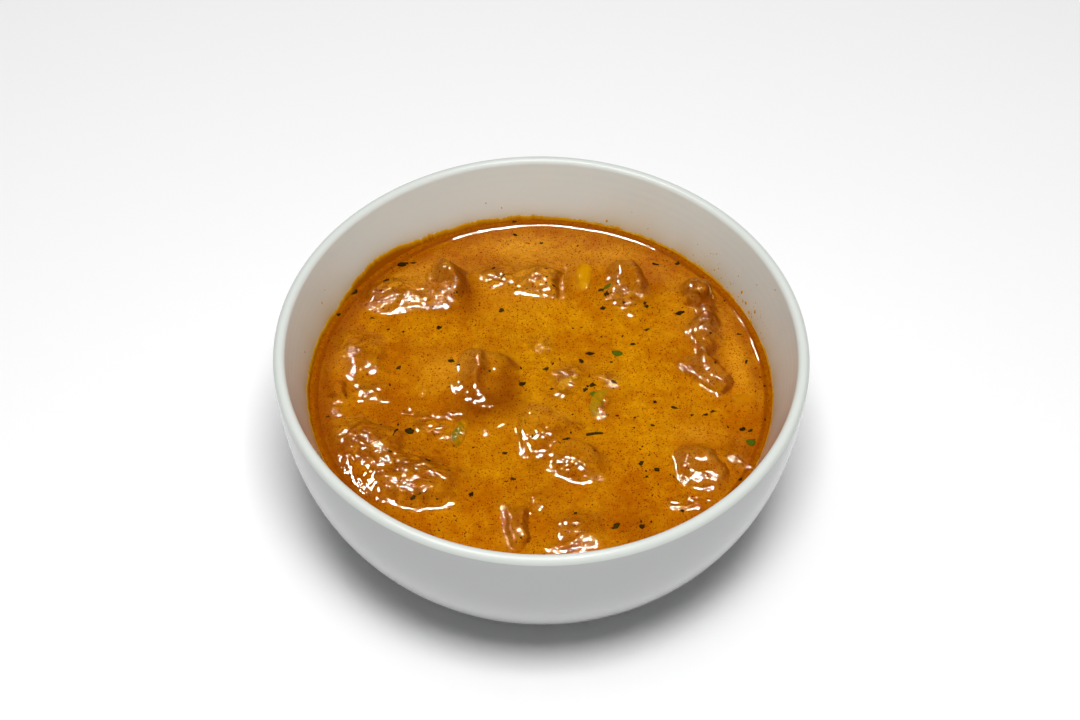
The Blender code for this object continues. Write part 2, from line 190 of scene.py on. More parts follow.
def addPiece(name, points, faces, material, nodes=(), fields=None):
    # a closed mesh from points in millimetres and arrays of quads or triangles, riding on the bowl's body.
    # Where its volume comes out negative the faces are turned round, so that all of them look outwards.
    if volumeOf(points, faces) < 0:
        faces = [f[:, ::-1] for f in faces]
    mesh = bpy.data.meshes.new(name)
    loops = np.concatenate([f.ravel() for f in faces])
    sizes = np.concatenate([np.full(len(f), f.shape[1]) for f in faces])
    mesh.vertices.add(len(points))
    mesh.vertices.foreach_set("co", (np.asarray(points) * mm).astype(np.float32).ravel())
    mesh.loops.add(len(loops))
    mesh.loops.foreach_set("vertex_index", loops.astype(np.int32))
    mesh.polygons.add(len(sizes))
    mesh.polygons.foreach_set("loop_start", np.concatenate([[0], np.cumsum(sizes)[:-1]]).astype(np.int32))
    mesh.update(calc_edges=True)
    mesh.validate()
    mesh.shade_smooth()
    for field, values in (fields or {}).items():
        mesh.attributes.new(field, "FLOAT", "POINT").data.foreach_set("value", np.asarray(values, np.float32))
    mesh.materials.append(material)
    piece = bpy.data.objects.new(name, mesh)
    scene.collection.objects.link(piece)
    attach(piece, "root")
    if nodes:
        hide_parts(*nodes)


def hexColour(code):
    # an sRGB hex value as linear red, green, blue and alpha
    channels = [int(code[k:k + 2], 16) / 255 for k in (1, 3, 5)]
    return (*[c / 12.92 if c <= 0.04045 else ((c + 0.055) / 1.055) ** 2.4 for c in channels], 1.0)


def setNode(tree, node, settings):
    # properties by name, and sockets by name or number: each is set to a value or a hex colour, or is linked
    # to an output
    for key, value in settings.items():
        if isinstance(key, str) and key in node.bl_rna.properties:
            setattr(node, key, value)
        elif isinstance(value, bpy.types.NodeSocket):
            tree.links.new(value, node.inputs[key])
        else:
            node.inputs[key].default_value = hexColour(value) if isinstance(value, str) else value


def addNode(tree, kind, settings, output=0):
    # one more node with its settings and links; gives back one of its outputs
    node = tree.nodes.new("ShaderNode" + kind)
    setNode(tree, node, settings)
    return node.outputs[output]


def newMaterial(name, surface):
    # a material with these constants on its shader, with its node tree and that shader
    material = bpy.data.materials.new(name)
    material.use_nodes = True
    tree = material.node_tree
    setNode(tree, tree.nodes["Principled BSDF"], surface)
    return material, tree, tree.nodes["Principled BSDF"]


# the bowl: the same turned section as the solid
bowl = {
    "radius": 80.0,
    "lipLevel": 67.2,
    "lipRound": 1.82,
    "wallLean": math.radians(17.6),
    "outerDrop": 50.9,
    "outerTurn": (52.2, 5.4),
    "footTop": (43.2, 3.2),
    "footOuter": 41.8,
    "footInner": 38.2,
    "footEase": 0.7,
    "recess": 2.6,
    "floorLevel": 8.8,
    "floorFlat": 22.0,
    "innerDrop": 28.0,
    "innerTurn": 56.0,
    "points": {"floor": 20, "wall": 44, "lip": 22, "outside": 52, "foot": 5},
    "columns": 288,
    "ringDepth": 0.012,       # faint rings left by turning, under the glaze
    "ringSpacing": 2.6,
}
sauceLevel = 48.2
# oil and fine spray on the wall above the dried rim, with a painted warm glow of light bounced up from the
# sauce:
# the direction of the wall behind, and how far from it the sides begin and are full, as angles. Its amount
# and its reach upwards in mm are each a number for the wall behind, what the sides add to it, and what more
# the right-hand side adds.
oilAndBounceGlow = {
    "behind": math.radians(112),
    "sides": (0.49, 0.84),
    "amount": (0.58, 0.15, -0.05),
    "reach": (2.2, 3.7, -1.1),
}

lipAngles = (np.pi - bowl["wallLean"]) * (1 - np.linspace(0, 1, bowl["points"]["lip"]))
lipArc = np.stack([bowl["radius"] - bowl["lipRound"] + bowl["lipRound"] * np.cos(lipAngles),
                   bowl["lipLevel"] + bowl["lipRound"] * np.sin(lipAngles)], 1)


def wallRadius(height):
    # radius of the straight inside wall at a height
    return lipArc[0, 0] - (lipArc[0, 1] - height) * math.tan(bowl["wallLean"])


def fromWall(x, y):
    # distance of a place from the wall at the sauce's level
    return wallRadius(sauceLevel) - np.hypot(x, y)


def insideCurve(count):
    # the inside wall below the sauce line, down to the level middle of the floor
    start = np.array((wallRadius(sauceLevel), sauceLevel))
    pull = start - bowl["innerDrop"] * np.array((math.sin(bowl["wallLean"]), math.cos(bowl["wallLean"])))
    floor = bowl["floorLevel"]
    return bezier(start, pull, (bowl["innerTurn"], floor), (bowl["floorFlat"], floor), count)


def makeBowl(material):
    # radius and height down the whole section, carried round the axis, with both ends closed on the axis
    count, columns, inner, easing = bowl["points"], bowl["columns"], bowl["footInner"], bowl["footEase"]
    wallHeights = np.linspace(sauceLevel, lipArc[0, 1], count["wall"])[1:-1]
    rings = bowl["ringDepth"] * np.sin(2 * np.pi * wallHeights / bowl["ringSpacing"])
    rings *= ramp(wallHeights, 54, 62) * ramp(wallHeights, lipArc[0, 1], 65)
    wall = np.stack([wallRadius(wallHeights) - rings, wallHeights], 1)
    lip = (bowl["radius"], bowl["lipLevel"])
    belowLip = (bowl["radius"], bowl["lipLevel"] - bowl["outerDrop"])
    outside = bezier(lip, belowLip, bowl["outerTurn"], bowl["footTop"], count["outside"])[1:]
    quarter = np.linspace(0, np.pi / 2, count["foot"])
    foot = [np.stack([radius + easing * across, easing - easing * down], 1) for radius, across, down in (
        (bowl["footOuter"], np.cos(quarter), np.sin(quarter)), (inner, -np.sin(quarter), np.cos(quarter)))]
    under = bowl["recess"]
    recess = np.array([(inner - 1.0, 1.7), (inner - 1.6, 2.35), (inner - 2.6, under), (18, under)])
    section = np.concatenate([insideCurve(count["floor"])[::-1], wall, lipArc, outside, *foot, recess])
    turn = np.arange(columns) * 2 * np.pi / columns
    points = aroundAxis(section[:, :1], turn, section[:, 1:]).reshape(-1, 3)
    points = np.vstack([points, (0, 0, bowl["floorLevel"]), (0, 0, bowl["recess"])])

    x, y, height = points.T
    out, direction = np.hypot(x, y), np.arctan2(y, x)
    above = np.maximum(height - sauceLevel - rimHeight(direction), 0)
    side = ramp(np.abs(np.mod(direction - oilAndBounceGlow["behind"] + np.pi, 2 * np.pi) - np.pi), *oilAndBounceGlow["sides"])
    amount, reach = (behind + side * (more + right * np.cos(direction))
                     for behind, more, right in (oilAndBounceGlow["amount"], oilAndBounceGlow["reach"]))
    inside = (out < lipArc[0, 0]) & (height > sauceLevel - 2)
    pastLip = np.arange(len(points)) >= (count["floor"] + len(wall) + count["lip"] - 1) * columns
    fields = {
        "bare": ramp(height, 0.5, 0.15) * ramp(np.abs(out - (bowl["footOuter"] + inner) / 2), 2.4, 2.0),
        # oil on the wall, partly a painted glow of light bounced from the sauce
        "oilAndBounceGlow": amount * np.exp(-above / reach) * inside * (1 + 0.2 * softNoise(x, y, 7, 71)),
        # painted shade that darkens the outside past the lip
        "outerShade": ramp(bowl["lipLevel"] + 2.0 - height, -0.6, 2.6) * pastLip,
    }
    addPiece("bowl_glazed", points, tubeFaces(len(section), columns), material, ["bowl"], fields)


def glazedPorcelain():
    # Hard-paste porcelain, jiggered, dipped in clear glaze and fired: an even cool white with a sharp gloss,
    # a hardly visible waviness of the glaze, and a matt biscuit ring where the foot was wiped clean.
    material, tree, shader = newMaterial("glazed_porcelain", {"IOR": 1.5, "Specular IOR Level": 0.35})
    place = addNode(tree, "TexCoord", {}, "Object")
    bare, oilAndBounce, outerShade = (addNode(tree, "Attribute", {"attribute_name": field}, "Fac")
                         for field in ("bare", "oilAndBounceGlow", "outerShade"))
    mottle, grit, wave = (addNode(tree, "TexNoise", {"Scale": 1 / size, "Detail": detail, "Vector": place})
                          for size, detail in ((0.045, 2), (0.0006, 3), (0.016, 1)))
    biscuit = addNode(tree, "Mix", {"data_type": "RGBA", 0: grit, 6: "#cbc2b2", 7: "#ddd6c9"}, 2)
    # painted shade: the outside's glaze is toned greyer, as the outside is lit more strongly; the oil crept
    # up from the dried rim, with a painted glow of light bounced from the sauce
    colour = "#d1d5d0"
    for amount, over in ((mottle, "#d6dad4"), (outerShade, "#bfc0c0"), (oilAndBounce, "#b49556"), (bare, biscuit)):
        colour = addNode(tree, "Mix", {"data_type": "RGBA", 0: amount, 6: colour, 7: over}, 2)
    setNode(tree, shader, {
        "Base Color": colour,
        "Roughness": addNode(tree, "MapRange", {"Value": bare, "To Min": 0.12, "To Max": 0.67}),
        "Normal": addNode(tree, "Bump", {"Strength": 0.25, "Distance": 0.0003, "Height": wave})})
    return material


# The lamb, the same chunks as the solids: x, y, length, width, turn in degrees, height above the sauce,
# depth below it, squareness, taper of the top, and lean of the top in x and y
lamb = {
    "lamb_01": (-29.6, 39.2, 13.4, 19.0, 8, 8.6, 11, 2.5, 0.32, (-1.6, 3.4)),
    "lamb_02": (-19.2, 1.2, 25.0, 28.0, -12, 7.2, 15, 2.6, 0.26, (2.2, 4.4)),
    "lamb_03": (-46.8, 37.0, 16.4, 13.2, 8, 4.2, 8, 2.5, 0.1, (0, 0)),
    "lamb_04": (-55.0, 10.6, 13.6, 17.0, 8, 3.6, 9, 2.5, 0.1, (0, 0)),
    "lamb_05": (-61.6, -3.2, 5.4, 8.0, 14, 2.6, 4, 2.4, 0.1, (0, 0)),
    "lamb_06": (-50.6, -22.4, 19.0, 15.0, -24, 5.0, 9, 2.6, 0.15, (0, 0)),
    "lamb_07": (-34.6, -38.2, 25.0, 13.6, -14, 5.0, 10, 2.6, 0.15, (0, 1)),
    "lamb_08": (0.0, 42.6, 16.6, 14.6, -10, 5.2, 12, 2.5, 0.2, (0, 1)),
    "lamb_09": (26.6, 41.2, 16.4, 22.5, 18, 6.2, 12, 2.5, 0.3, (1, 1.5)),
    "lamb_10": (48.4, 37.4, 12.0, 10.8, 15, 6.0, 6, 2.4, 0.2, (0.6, 1)),
    "lamb_11": (49.0, 22.2, 13.6, 14.0, -12, 6.0, 9, 2.7, 0.25, (2, 0)),
    "lamb_12": (50.4, 4.2, 19.0, 10.4, -34, 5.0, 9, 2.6, 0.25, (1, 1)),
    "lamb_13": (47.0, -31.2, 15.8, 20.0, 22, 5.0, 8, 2.4, 0.2, (0, 1)),
    "lamb_14": (0.4, -16.6, 15.0, 15.6, -20, 3.8, 11, 2.5, 0.15, (0, 0)),
    "lamb_15": (12.4, -28.6, 12.4, 12.0, -35, 4.2, 10, 2.4, 0.15, (0, 0)),
    "lamb_16": (-6.4, -52.4, 8.2, 16.0, 10, 4.0, 7, 2.5, 0.2, (0, 0)),
    "lamb_17": (11.8, -53.4, 13.0, 12.4, 0, 2.8, 8, 2.4, 0.1, (0, 0)),
}
chunkForm = {"lumps": 9, "lumpDepth": 0.22, "lumpWave": 3.0, "around": 112, "along": 72, "halvings": 12}


def lumpsOf(directions, seed):
    # a seeded sum of soft waves over the directions, about -1 to 1
    rng = np.random.default_rng(seed)
    waves = rng.normal(size=(chunkForm["lumps"], 3)) * chunkForm["lumpWave"] / math.sqrt(3)
    phases = rng.uniform(0, 2 * math.pi, chunkForm["lumps"])
    return np.cos(directions @ waves.T + phases).mean(axis=-1) * 2


def chunkReach(directions, squareness, seed):
    # distance of the skin from the middle: a superellipsoid of that power, made uneven by the lumps
    plain = (np.abs(directions) ** squareness).sum(-1) ** (-1 / squareness)
    return plain * (1 + chunkForm["lumpDepth"] * lumpsOf(directions, seed))


def sphereGrid(along, around):
    # directions on lines of latitude about the X axis, so that both poles lie under the sauce
    polar = np.linspace(0, np.pi, along + 2)[1:-1, None]
    turn = np.arange(around) * 2 * np.pi / around
    ring = np.broadcast_arrays(np.cos(polar), np.sin(polar) * np.cos(turn), np.sin(polar) * np.sin(turn))
    return np.vstack([np.stack(ring, -1).reshape(-1, 3), (1, 0, 0), (-1, 0, 0)])


class Chunk:
    # one chunk's numbers, with the highest and lowest points of its unscaled form
    def __init__(self, name, row, seed):
        self.name, self.seed = name, seed
        self.x, self.y, length, width, turn, self.rise, depth, self.power, self.taper, self.lean = row
        self.half = np.array((length / 2, width / 2, (self.rise + depth) / 2))
        self.cos, self.sin = math.cos(math.radians(turn)), math.sin(math.radians(turn))
        self.middle = (self.rise - depth) / 2
        directions = sphereGrid(48, 64)
        upright = directions[:, 2] * chunkReach(directions, self.power, seed)
        self.top, self.bottom = upright.max(), -upright.min()

    def skin(self, directions):
        # points of the skin in these directions, heights counted from the sauce level
        form = directions * chunkReach(directions, self.power, self.seed)[:, None]
        upright = form[:, 2] / np.where(form[:, 2] > 0, self.top, self.bottom)
        flat = form[:, :2] * (1 - self.taper * np.maximum(upright, 0)[:, None]) * self.half[:2]
        along, across = (flat + upright[:, None] * np.array(self.lean)).T
        return np.stack([self.x + along * self.cos - across * self.sin,
                         self.y + along * self.sin + across * self.cos,
                         self.middle + upright * self.half[2]], -1)

    def outside(self, dx, dy, upright):
        # how far a point is outside the skin as a share of its distance; negative inside
        along = (dx * self.cos + dy * self.sin - upright * self.lean[0]) / self.half[0]
        across = (dy * self.cos - dx * self.sin - upright * self.lean[1]) / self.half[1]
        narrow = 1 - self.taper * np.maximum(upright, 0)
        place = np.stack([along / narrow, across / narrow, upright * self.top], -1)
        distance = np.linalg.norm(place, axis=-1) + 1e-9
        return distance / chunkReach(place / distance[..., None], self.power, self.seed) - 1

    def height(self, x, y):
        # height of the upper skin over the sauce level, found by halving; outside the widest outline it
        # falls steeply
        dx, dy = x - self.x, y - self.y
        result = np.full(np.shape(x), -30.0)
        near = np.hypot(dx, dy) < self.half[:2].max() * 1.5 + 3
        dx, dy = dx[near], dy[near]
        low, high = np.zeros(len(dx)), np.ones(len(dx)) * 1.02
        for _ in range(chunkForm["halvings"]):
            middle = (low + high) / 2
            within = self.outside(dx, dy, middle) < 0
            low, high = np.where(within, middle, low), np.where(within, high, middle)
        level = self.outside(dx, dy, np.zeros(len(dx)))
        result[near] = self.middle + np.where(level < 0, low * self.half[2], -3 * level * self.half[:2].min())
        return result


chunks = [Chunk(name, row, seed) for seed, (name, row) in enumerate(lamb.items())]

# the sauce's skin, as a height over the sauce level at any place
sauce = {
    "uneven": ((0.16, 13, 3), (0.07, 5, 4), (0.02, 2, 5)),    # depth, size and seed of its slow waves
    "shelf": 0.39,            # a skin of cooled sauce stands this much higher along the wall
    "shelfSides": 0.28,       # and this share more at the left and right
    "shelfWidth": (1.75, 2.62),
    "wallClimb": 0.25,        # and climbs this much more against the wall
    "climbReach": 0.5,
    "edgeWander": 0.12,
    "swell": 0.4,             # share of a chunk's height by which the sauce swells round it
    "swellReach": 0.75,
    "cling": 1.2,             # depth of the fillet between a chunk and the sauce
    "edgeRound": 0.9,         # and of the rounding along the chunk's edges
    "pull": ((1.2, 6.5, 5, 7), (0.5, 2.8, 6, 8)),             # distance, size and seeds of the outlines' pull
    "sunkShare": 0.5,         # share of a chunk's height that it stands out where the sauce nearly covers it
    "sunkSkirt": (1.3, 0.45), # shares of its outline between which it rises to that
    "curds": ((0.4, 4.6, 21), (0.16, 2.6, 24)),               # depth, size and seed of the crests
    "pebble": (0.06, 1.6, 27),
    "wave": (0.36, 5.5, 28),
    "grid": 286,
    "crowding": 0.75 * math.pi / 2,                           # rings crowd together towards the wall
    "intoWall": 0.12,
    "sunk": 0.28,             # how far the sauce's own sheet lies under a chunk's skin
}
# chunks that the sauce nearly covers
sunken = ("lamb_03", "lamb_04", "lamb_05", "lamb_06", "lamb_07", "lamb_14", "lamb_15", "lamb_17")
# low swellings over meat just under the surface: x, y, half length, half width, turn, height
mounds = (
    (-52, -3, 5, 4, 0, 1.2), (59, -24, 5, 6, -30, 1.7), (1, -43, 4, 6, 10, 1.6), (-9, 44, 9, 8, 20, 1.4),
    (12, 2, 8, 7, 0, 0.9), (63, 8, 4, 11, 12, 1.3), (-38, 12, 9, 5, -20, 1.2), (30, -50, 9, 6, 20, 0.9),
    (-15.5, 45, 4, 4, 0, 0.9), (-1, 16, 5, 3, 0, 0.45), (9, 6.4, 4.5, 2.6, 20, 0.7),
    (21, 4, 4, 3, -20, 0.6),
)
# knobs and hollows on the chunks, in the same way
knobs = (
    (-31.2, 42.6, 2.9, 2.6, 0, 3.4), (-26.4, 40.5, 2.0, 5.0, 14, 1.4), (-18.6, 7.6, 2.2, 2.0, 0, 1.2),
    (-20.8, 1.0, 2.0, 2.2, 0, 0.8), (-11.5, 8.0, 2.6, 3.0, 0, 0.7), (48.3, 38.4, 2.6, 2.2, 0, 0.9),
    (28.2, 50.6, 2.2, 2.6, 10, 0.9), (23.0, 38.5, 2.6, 2.4, 0, 0.6), (-0.6, 47.4, 3.4, 2.0, -10, 0.6),
    (47.5, -27.0, 3.6, 3.0, 20, 0.6), (43.5, -36.0, 2.2, 3.4, 20, -0.7),
)
# crests and grooves along a line: x0, y0, x1, y1, width, height
folds = (
    (-34.4, 38.6, -28.6, 38.8, 1.0, -1.0), (-18.3, 10.0, -22.1, -5.0, 1.8, 0.4),
    (-5.6, -14.1, -4.8, -26.0, 0.9, 0.8), (-0.9, -29.4, 4.2, -22.0, 2.0, -0.5),
    (-10.3, -46.0, -7.5, -59.3, 1.1, 0.7), (-7.6, -45.0, -5.9, -57.0, 1.6, -0.5),
    (-4.2, -44.8, -4.4, -54.0, 1.3, 0.4), (50.8, 35.0, 51.6, 25.0, 2.6, 2.6),
    (50.4, 18.6, 50.6, 8.0, 2.4, 2.0), (46.0, 33.2, 51.5, 32.2, 1.1, -1.6),
    (49.9, 26.0, 53.9, 18.7, 1.3, 0.8), (49.4, 12.9, 56.1, 3.4, 1.3, 1.0),
    (41.9, 8.6, 53.4, -2.4, 0.75, 0.38), (38.7, -44.9, 47.0, -44.0, 0.9, 0.5),
    (-65.5, 5.8, -63.9, -4.1, 0.9, 0.6), (-63.9, -4.1, -60.2, -5.8, 0.9, 0.5),
    (-44.5, -41.1, -38.4, -44.2, 1.1, 0.3), (-33.5, -44.0, -23.6, -42.6, 1.0, 0.3),
    (-17.4, -17.2, -15.6, -18.4, 0.9, 0.4), (-15.6, -18.4, -11.2, -14.4, 0.8, 0.4),
    (5.6, 36.8, 6.6, 48.6, 1.0, -0.9), (57.0, -26.5, 59.0, -29.6, 0.8, 0.45),
    (59.0, -29.6, 62.8, -29.4, 0.8, 0.45),
)
# cut faces of the chunks: direction each falls to and its slope in degrees, and a point on it
facets = {
    "lamb_01": ((5, 58, -25.6, 40, 6.6), (-95, 50, -30, 33.0, 4.6), (200, 14, -30, 38, 5.4),
                (-48, 46, -26.5, 35, 5.2)),
    "lamb_02": ((172, 16, -20, 6, 6.7), (-28, 24, -17.5, 8, 6.6), (-12, 56, -10.0, 0, 4.2),
                (-98, 45, -21, -4.6, 4.9), (88, 44, -18, 12.0, 6.0), (40, 38, -17.5, 9.5, 6.5)),
    "lamb_08": ((-90, 24, 0, 42, 4.4), (0, 50, 5.6, 42, 3.6), (180, 40, -5.6, 42, 3.6)),
    "lamb_09": ((-90, 15, 27, 40, 5.2), (190, 36, 22, 41, 4.8), (-5, 50, 31, 40, 4.6)),
    "lamb_11": ((-60, 34, 50, 24, 4.6), (0, 52, 53, 22, 3.6), (205, 42, 46.2, 22, 4.3)),
    "lamb_12": ((-128, 34, 49, 5, 4.2),),
    "lamb_13": ((-80, 9, 47, -30, 4.2), (190, 42, 42, -31, 3.0)),
}
# where the surface is curdled and craggy: x, y, half length, half width, turn, amount
crags = (
    (-47, 36, 11, 6, 0, 1.0), (-33.5, 33.5, 5, 4, 0, 0.9), (-31, 46, 4, 4, 0, 0.6),
    (-14.5, 45, 6, 6, 10, 1.0), (-0.5, 42, 8, 8, 0, 0.9), (26, 36, 7, 7, 15, 0.9), (49, 37, 6, 5, 0, 0.9),
    (50, 22, 5, 8, 0, 0.8), (51, 7, 4, 7, -30, 0.4), (-57, 14, 6, 9, 10, 0.9), (-53, -3, 7, 4, 0, 0.8),
    (-62, -10, 3, 6, 0, 0.7), (-53, -23, 9, 7, -20, 1.0), (-37, -33, 13, 8, -15, 1.0),
    (-36, -15, 12, 4, -35, 0.9), (-19, 8, 4, 8, 0, 0.5), (-27, -12, 5, 3.5, 0, 0.8), (1, -20, 5, 5, 0, 0.6),
    (9, -31, 8, 4, 0, 0.9), (-2, -46, 4, 6, 0, 0.7), (12, -53, 6, 5, 0, 0.7), (8, -60, 6, 2, 0, 0.8),
    (46, -36, 9, 8, 20, 0.5), (41, -43.5, 6, 2, 10, 0.5), (59, -25, 5, 4, 0, 0.6), (9, 2, 9, 5, 30, 0.5),
    (18, -5, 5, 5, 0, 0.5), (-1, 16, 6, 4, 0, 0.9), (16, -40, 4, 6, 0, 0.4), (-19.5, 5, 3, 6, -14, 0.35),
    (-36, -43, 10, 3, -5, 0.7), (-30.5, 43, 3.5, 3.5, 0, 0.6), (9, 5.5, 4.5, 2.6, 20, 0.9),
    (6.5, -3, 3, 2.6, 0, 0.8), (21, 3, 4, 3, -20, 0.8), (18, -8, 3, 4, 0, 0.7),
    (11, -15.3, 3, 2.6, 30, 0.8),
)


def lowRelief(x, y):
    # the level plus slow waves, the mounds, the swell round each chunk, and the shelf and climb at the wall
    height = sum(depth * softNoise(x, y, size, seed) for depth, size, seed in sauce["uneven"])
    height = height + summed(oval, mounds, x, y)
    for cx, cy, length, width, turn, rise, *_ in lamb.values():
        reach = (cx, cy, sauce["swellReach"] * length, sauce["swellReach"] * width, turn)
        height = height + sauce["swell"] * rise * oval(x, y, reach)
    turn, inwards = np.arctan2(y, x), fromWall(x, y)
    wander = sauce["edgeWander"] * ringNoise(turn, 9, 11)
    near, far = sauce["shelfWidth"]
    shelf = sauce["shelf"] * (1 + sauce["shelfSides"] * ramp(np.abs(np.cos(turn)), 0.1, 0.5)) + 0.25 * wander
    shelf = shelf * ramp(inwards + 2 * wander, far, near)
    climb = sauce["wallClimb"] * np.exp(-np.maximum(inwards, 0) / sauce["climbReach"])
    return height * ramp(inwards, 1, 6) + shelf + climb


def ragged(x, y):
    # how craggy the surface is, from 0 to 1
    return np.minimum(summed(oval, crags, x, y), 1.0)


def chunkTop(chunk, x, y):
    # the chunk's upper skin cut by its faces: the lower of the two, with the edge between them rounded
    top = chunk.height(x, y)
    soft = sauce["edgeRound"]
    for direction, slope, px, py, level in facets.get(chunk.name, ()):
        direction = math.radians(direction)
        fall = (x - px) * math.cos(direction) + (y - py) * math.sin(direction)
        face = level - math.tan(math.radians(slope)) * fall
        top = np.minimum(top, face) - np.maximum(soft - np.abs(top - face), 0) ** 2 / (4 * soft)
    return top


def pulled(x, y):
    # places pulled about by up to 1.7 mm, so that no outline of a chunk stays smooth
    return (x + sum(far * softNoise(x, y, size, seed) for far, size, seed, _ in sauce["pull"]),
            y + sum(far * softNoise(x, y, size, seed) for far, size, _, seed in sauce["pull"]))


def broadSkin(x, y):
    # every chunk's upper skin blended into the low relief by a fillet, plus the knobs and folds
    height = lowRelief(x, y)
    x, y = pulled(x, y)
    cling = sauce["cling"]
    for chunk in chunks:
        if chunk.name in sunken:
            share = chunk.outside(x - chunk.x, y - chunk.y, np.zeros(np.shape(x))) + 1
            height = height + sauce["sunkShare"] * chunk.rise * ramp(share, *sauce["sunkSkirt"])
        else:
            top = chunkTop(chunk, x, y)
            gap = np.abs(height - top)
            height = np.maximum(height, top) + np.maximum(cling - gap, 0) ** 2 / (4 * cling)
    return height + summed(oval, knobs, x, y) + summed(stroke, folds, x, y)


def sauceSkin(x, y):
    # the broad form with crests, pebbles and waves on it where it is craggy
    rough = ragged(x, y) * ramp(fromWall(x, y), 0.5, 4)
    fine = sum(depth * (creases(x, y * 1.1, size, seed) - 0.5) for depth, size, seed in sauce["curds"])
    depth, size, seed = sauce["pebble"]
    fine = fine + depth * (pebbles(x, y, size, seed) - 0.4)
    depth, size, seed = sauce["wave"]
    return broadSkin(x, y) + rough * (fine + depth * softNoise(x, y, size, seed))


# where the sauce is more golden; where it is paler and creamier, partly cream in the sauce and partly painted
# light on lit slopes such as the big chunk's left face; and where it is thin and brown, darkened further by
# painted shade on the chunks' shaded sides and in the gaps between them: x, y, half length, half width, turn,
# amount
goldPlaces = (
    (-2, 10, 14, 22, 0, 1.0), (30, 8, 12, 20, 0, 0.9), (-12, -30, 12, 14, 0, 0.5),
    (25, -20, 16, 12, 0, 0.7), (12, 28, 22, 8, 0, 0.6), (-36, 0, 6, 8, 0, 0.5), (-30, 20, 16, 6, 0, 0.5),
)
# paler patches, partly painted light on lit slopes
creamAndLitPlaces = (
    (-7, 58, 13, 5, 0, 0.9), (22, 55, 8, 4, 0, 0.7), (60, 9, 3.5, 12, 10, 0.9), (47, -18, 6, 4, 0, 0.7),
    (-61, 9, 4, 6, 0, 0.5), (10, 50, 8, 5, 0, 0.4), (-29, 5, 8, 7, 20, 0.8), (-19, 9, 5, 3, 0, 0.6),
    (-44, 42, 12, 6, 0, 0.5), (-12, 36, 14, 10, 0, 0.3), (0, -12, 8, 5, 0, 0.4), (44, 28, 6, 10, 0, 0.3),
    (-2, 42, 9, 8, 0, 0.7), (-31, 46, 4, 5, 0, 0.5),
)
# browner patches, partly painted shade on shaded sides and in gaps
brownAndShadePlaces = (
    (-24, -2, 4, 8, 0, 0.2), (-10, 2, 4, 12, 10, 0.5), (-23, 34, 3, 8, 0, 0.5), (28, -53, 8, 7, 0, 0.4),
    (-46, -34, 16, 12, -20, 0.15), (34, 38, 4, 9, 0, 0.4), (-31, 30, 6, 2, 0, 0.5),
    (49, 33, 4, 1.4, 0, 0.9), (55.5, 20, 2, 8, 0, 0.4), (8, 42, 1.6, 6, 0, 0.4), (0, -27, 2, 5, -30, 0.4),
    (-6.5, -52, 1.2, 7, 8, 0.5), (-13, -7, 8, 6, -20, 0.7), (-10, 1, 4, 8, 0, 0.25),
    (51.4, 30, 3, 5, 0, 0.7), (50.5, 13, 3, 4, 0, 0.6), (-24, 38, 3, 7, 0, 0.5), (-21, -8, 5, 4, 0, 0.5),
    (57, -25, 4, 4, 0, 0.4), (-17.5, -9.5, 4, 4, 0, 0.7), (-21, -14, 4, 4, 0, 0.4),
)
# strongest share of each in the colour
strongest = {"cream": 0.8, "brownAndShade": 0.9, "coat": 0.9}


def sauceFields(x, y):
    # the sauce is thinner and browner on sloping faces and along the wall, and painted shade darkens these
    # further:
    # most on faces that fall to the right, away from the light, and on those that fall to the front
    step = 0.5
    fallRight = (broadSkin(x - step, y) - broadSkin(x + step, y)) / (2 * step)
    fallFront = (broadSkin(x, y + step) - broadSkin(x, y - step)) / (2 * step)
    inwards = fromWall(x, y)
    # painted shade on faces that fall to the right and to the front, over the thinner, browner sauce there
    steepShade = 0.75 * ramp(fallRight, 0.25, 0.9) + 0.45 * ramp(fallFront, 0.6, 1.2)
    steepShade = steepShade * ramp(np.hypot(x, y), 66, 64)
    # a darker band along the wall: partly thin sauce, partly painted shade, stronger on the left
    edge = (0.3 + 0.5 * ramp(-x, 20, 60)) * ramp(inwards, 9, 3) + 0.7 * ramp(inwards, 2.7, 1.9)
    gold, cream, brownAndShade = (np.clip(summed(oval, rows, x, y), 0, 1)
                         for rows in (goldPlaces, creamAndLitPlaces, brownAndShadePlaces))
    return {
        "gold": gold,
        "cream": strongest["cream"] * cream,
        # brown of thin sauce together with painted shade
        "brownAndShade": strongest["brownAndShade"] * np.clip(brownAndShade + steepShade + edge, 0, 1),
        "rough": np.maximum(ragged(x, y), 0.2 * ramp(inwards, 3, 5)),
        "crust": ramp(inwards + 0.5 * softNoise(x, y, 1.6, 31), 1.5, 0.8),
    }


